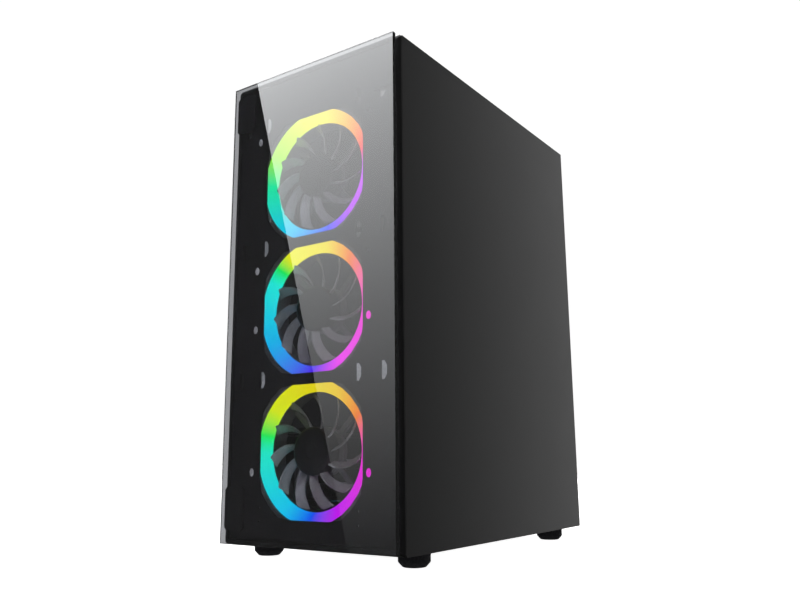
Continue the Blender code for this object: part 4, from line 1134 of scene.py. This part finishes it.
def make_top_ports():
    """Tongues in the sockets and a dished, ringed face on the power button."""
    low, high, middle = span("power_button")
    bm = bmesh.new()
    radius, height = 5.8, high.z - low.z
    outline = [(0, 0), (2.5, 0), (2.5, 9.2), (6.9, 9.2), (6.9, 10.4), (radius, 10.4),
               (radius, height), (radius - 1.0, height), (radius - 1.3, height - 0.45),
               (0, height - 0.65)]
    turned_into(bm, rounded(outline, 0.25, 3), (middle.x, middle.y, low.z), "Z", 64)
    finish_piece("power_button_cap", bm, "button_plastic",
                 ("power_button",), 35, body="power_key")
    ring = bmesh.new()
    top = span("io_cover")[1].z
    turned_into(ring, [(6.2, top - 0.8), (6.2, top + 0.15), (7.1, top + 0.15),
                       (7.3, top - 0.8), (6.2, top - 0.8)], (middle.x, middle.y, 0), "Z", 64)
    finish_piece("power_button_bezel", ring, "nickel", (), 35)
    tongues = bmesh.new()
    for x in (-12.0, 8.0, 28.0):
        box_into(tongues, about(x, 5.6), (middle.y + 0.1, middle.y + 1.7),
                 (top - 9, top - 1.3))
    finish_piece("front_port_tongues", tongues, "port_blue", bevel=0.1)


# ---- studio


def stage_sheet(name, corners, mat):
    mesh = bpy.data.meshes.new(name)
    mesh.from_pydata([Vector(c) for c in corners], [], [tuple(range(len(corners)))])
    mesh.materials.append(mat)
    obj = add_object(name, mesh)
    return obj


def make_floor():
    look = Look("studio_floor", (0.9, 0.9, 0.9), 0.9,
                {"Emission Color": (1, 1, 1, 1), "Emission Strength": 1.0})
    reach = 12.0
    floor = stage_sheet("studio_floor", [(-reach, -reach, 0), (reach, -reach, 0),
                                         (reach, reach, 0), (-reach, reach, 0)], look.mat)
    floor.visible_glossy = floor.visible_diffuse = floor.visible_transmission = False


# The reflection card, in metres: its plane, its top and foot, the near edge at the top and at
# the foot, and its far edge. Its glow rises from nothing to full over a range of heights.
CARD_Y = -1.162
CARD_TOP = 1.148
CARD_FOOT = -0.13
CARD_EDGE = (-1.080, -0.739)
CARD_FAR = -0.25
CARD_DARK_TO_FULL = (-0.40, 1.11)
CARD_POWER = 2.05
CARD_LEVEL = 5.35


def make_reflection_card():
    """A tall white card in front of the tower, brighter upwards, which the glass mirrors."""
    mat = bpy.data.materials.new("studio_card")
    mat.use_nodes = True
    mat.node_tree.nodes.clear()
    nodes = Nodes(mat.node_tree)
    glow = nodes.add("ShaderNodeEmission")
    glow.inputs["Color"].default_value = (0.97, 0.985, 1.0, 1.0)
    rise = nodes.span(nodes.place_parts()["Z"], 0, 1, CARD_DARK_TO_FULL)
    level = nodes.math("MULTIPLY", nodes.math("POWER", rise, CARD_POWER), CARD_LEVEL)
    nodes.link(level, glow.inputs["Strength"])
    output = nodes.add("ShaderNodeOutputMaterial")
    nodes.link(glow.outputs["Emission"], output.inputs["Surface"])
    card = stage_sheet("studio_card", [(CARD_EDGE[0], CARD_Y, CARD_TOP),
                                       (CARD_FAR, CARD_Y, CARD_TOP),
                                       (CARD_FAR, CARD_Y, CARD_FOOT),
                                       (CARD_EDGE[1], CARD_Y, CARD_FOOT)], mat)
    card.visible_camera = card.visible_diffuse = False
    card.visible_transmission = card.visible_shadow = False


def soft_light(name, at, towards, size, power):
    light = bpy.data.lights.new(name, "AREA")
    light.shape = "RECTANGLE"
    light.size, light.size_y = size
    light.energy = power
    obj = add_object(name, light)
    obj.location = at
    direction = Vector(towards) - Vector(at)
    obj.rotation_euler = direction.to_track_quat("-Z", "Y").to_euler()
    obj.visible_camera = False
    return obj


# The world's strength as the camera sees it, and as it lights the tower.
SKY_LEVEL = 1.02
ROOM_LEVEL = 0.07


def make_world():
    """White to the eye and through glass, and a dim grey room to everything it lights."""
    world = bpy.data.worlds.new("studio")
    bpy.context.scene.world = world
    world.use_nodes = True
    nodes = Nodes(world.node_tree)
    path = nodes.add("ShaderNodeLightPath").outputs
    deep = nodes.math("GREATER_THAN", path["Transmission Depth"], 2.5)
    bounced = nodes.math("MAXIMUM", path["Diffuse Depth"], path["Glossy Depth"])
    level = nodes.span(nodes.math("MAXIMUM", deep, bounced), SKY_LEVEL, ROOM_LEVEL)
    background = world.node_tree.nodes["Background"]
    background.inputs["Color"].default_value = (1, 1, 1, 1)
    nodes.link(level, background.inputs["Strength"])


# Each lamp's place, the point it faces, its size in metres and its power in watts.
LIGHTS = (
    ("overhead", (-0.3, -0.2, 2.2), (0, 0, 0.2), (2.4, 2.4), 26),
    ("right_rear", (0.72, 2.5, 0.75), (0.1, 0.1, 0.22), (0.9, 3.2), 9),
    ("left_rear", (-2.2, 1.6, 1.2), (0, 0, 0.22), (1.6, 1.6), 42),
    ("behind", (-0.7, 2.4, 0.9), (0, 0.17, 0.25), (1.4, 1.4), 22),
    ("through_front", (1.8, -0.95, 0.05), (0, -0.15, 0.2), (0.8, 0.8), 1900),
)


def make_studio():
    make_world()
    make_floor()
    make_reflection_card()
    lights = {name: soft_light(name, *values) for name, *values in LIGHTS}
    for name in ("right_rear", "left_rear", "behind"):
        lights[name].visible_transmission = False
    inside = lights["through_front"]
    inside.visible_diffuse = inside.visible_glossy = False


def make_camera():
    data = bpy.data.cameras.new("camera")
    data.lens = CAMERA_LENS
    data.sensor_width = 36.0
    data.clip_start = 0.01
    camera = add_object("camera", data)
    turn = (Matrix.Rotation(radians(CAMERA_TURN), 4, "Z")
            @ Matrix.Rotation(pi / 2 + radians(CAMERA_TILT), 4, "X")
            @ Matrix.Rotation(radians(CAMERA_ROLL), 4, "Z"))
    camera.matrix_world = Matrix.Translation(CAMERA_AT) @ turn
    bpy.context.scene.camera = camera


# ---- everything together

for kind in (bpy.data.cameras, bpy.data.lights):
    for item in list(kind):
        kind.remove(item)
bpy.context.scene.view_settings.view_transform = "Standard"
bpy.context.view_layer.update()

dress_cad_nodes()
dress_glass()
make_feet()
make_fans()
make_filters()
make_heatsink()
make_memory()
make_board_pieces()
make_rear_ports()
make_rear_details()
make_supply_circuit()
make_thumbscrews()
make_graphics_details()
make_tray_details()
make_top_ports()
make_studio()
make_camera()
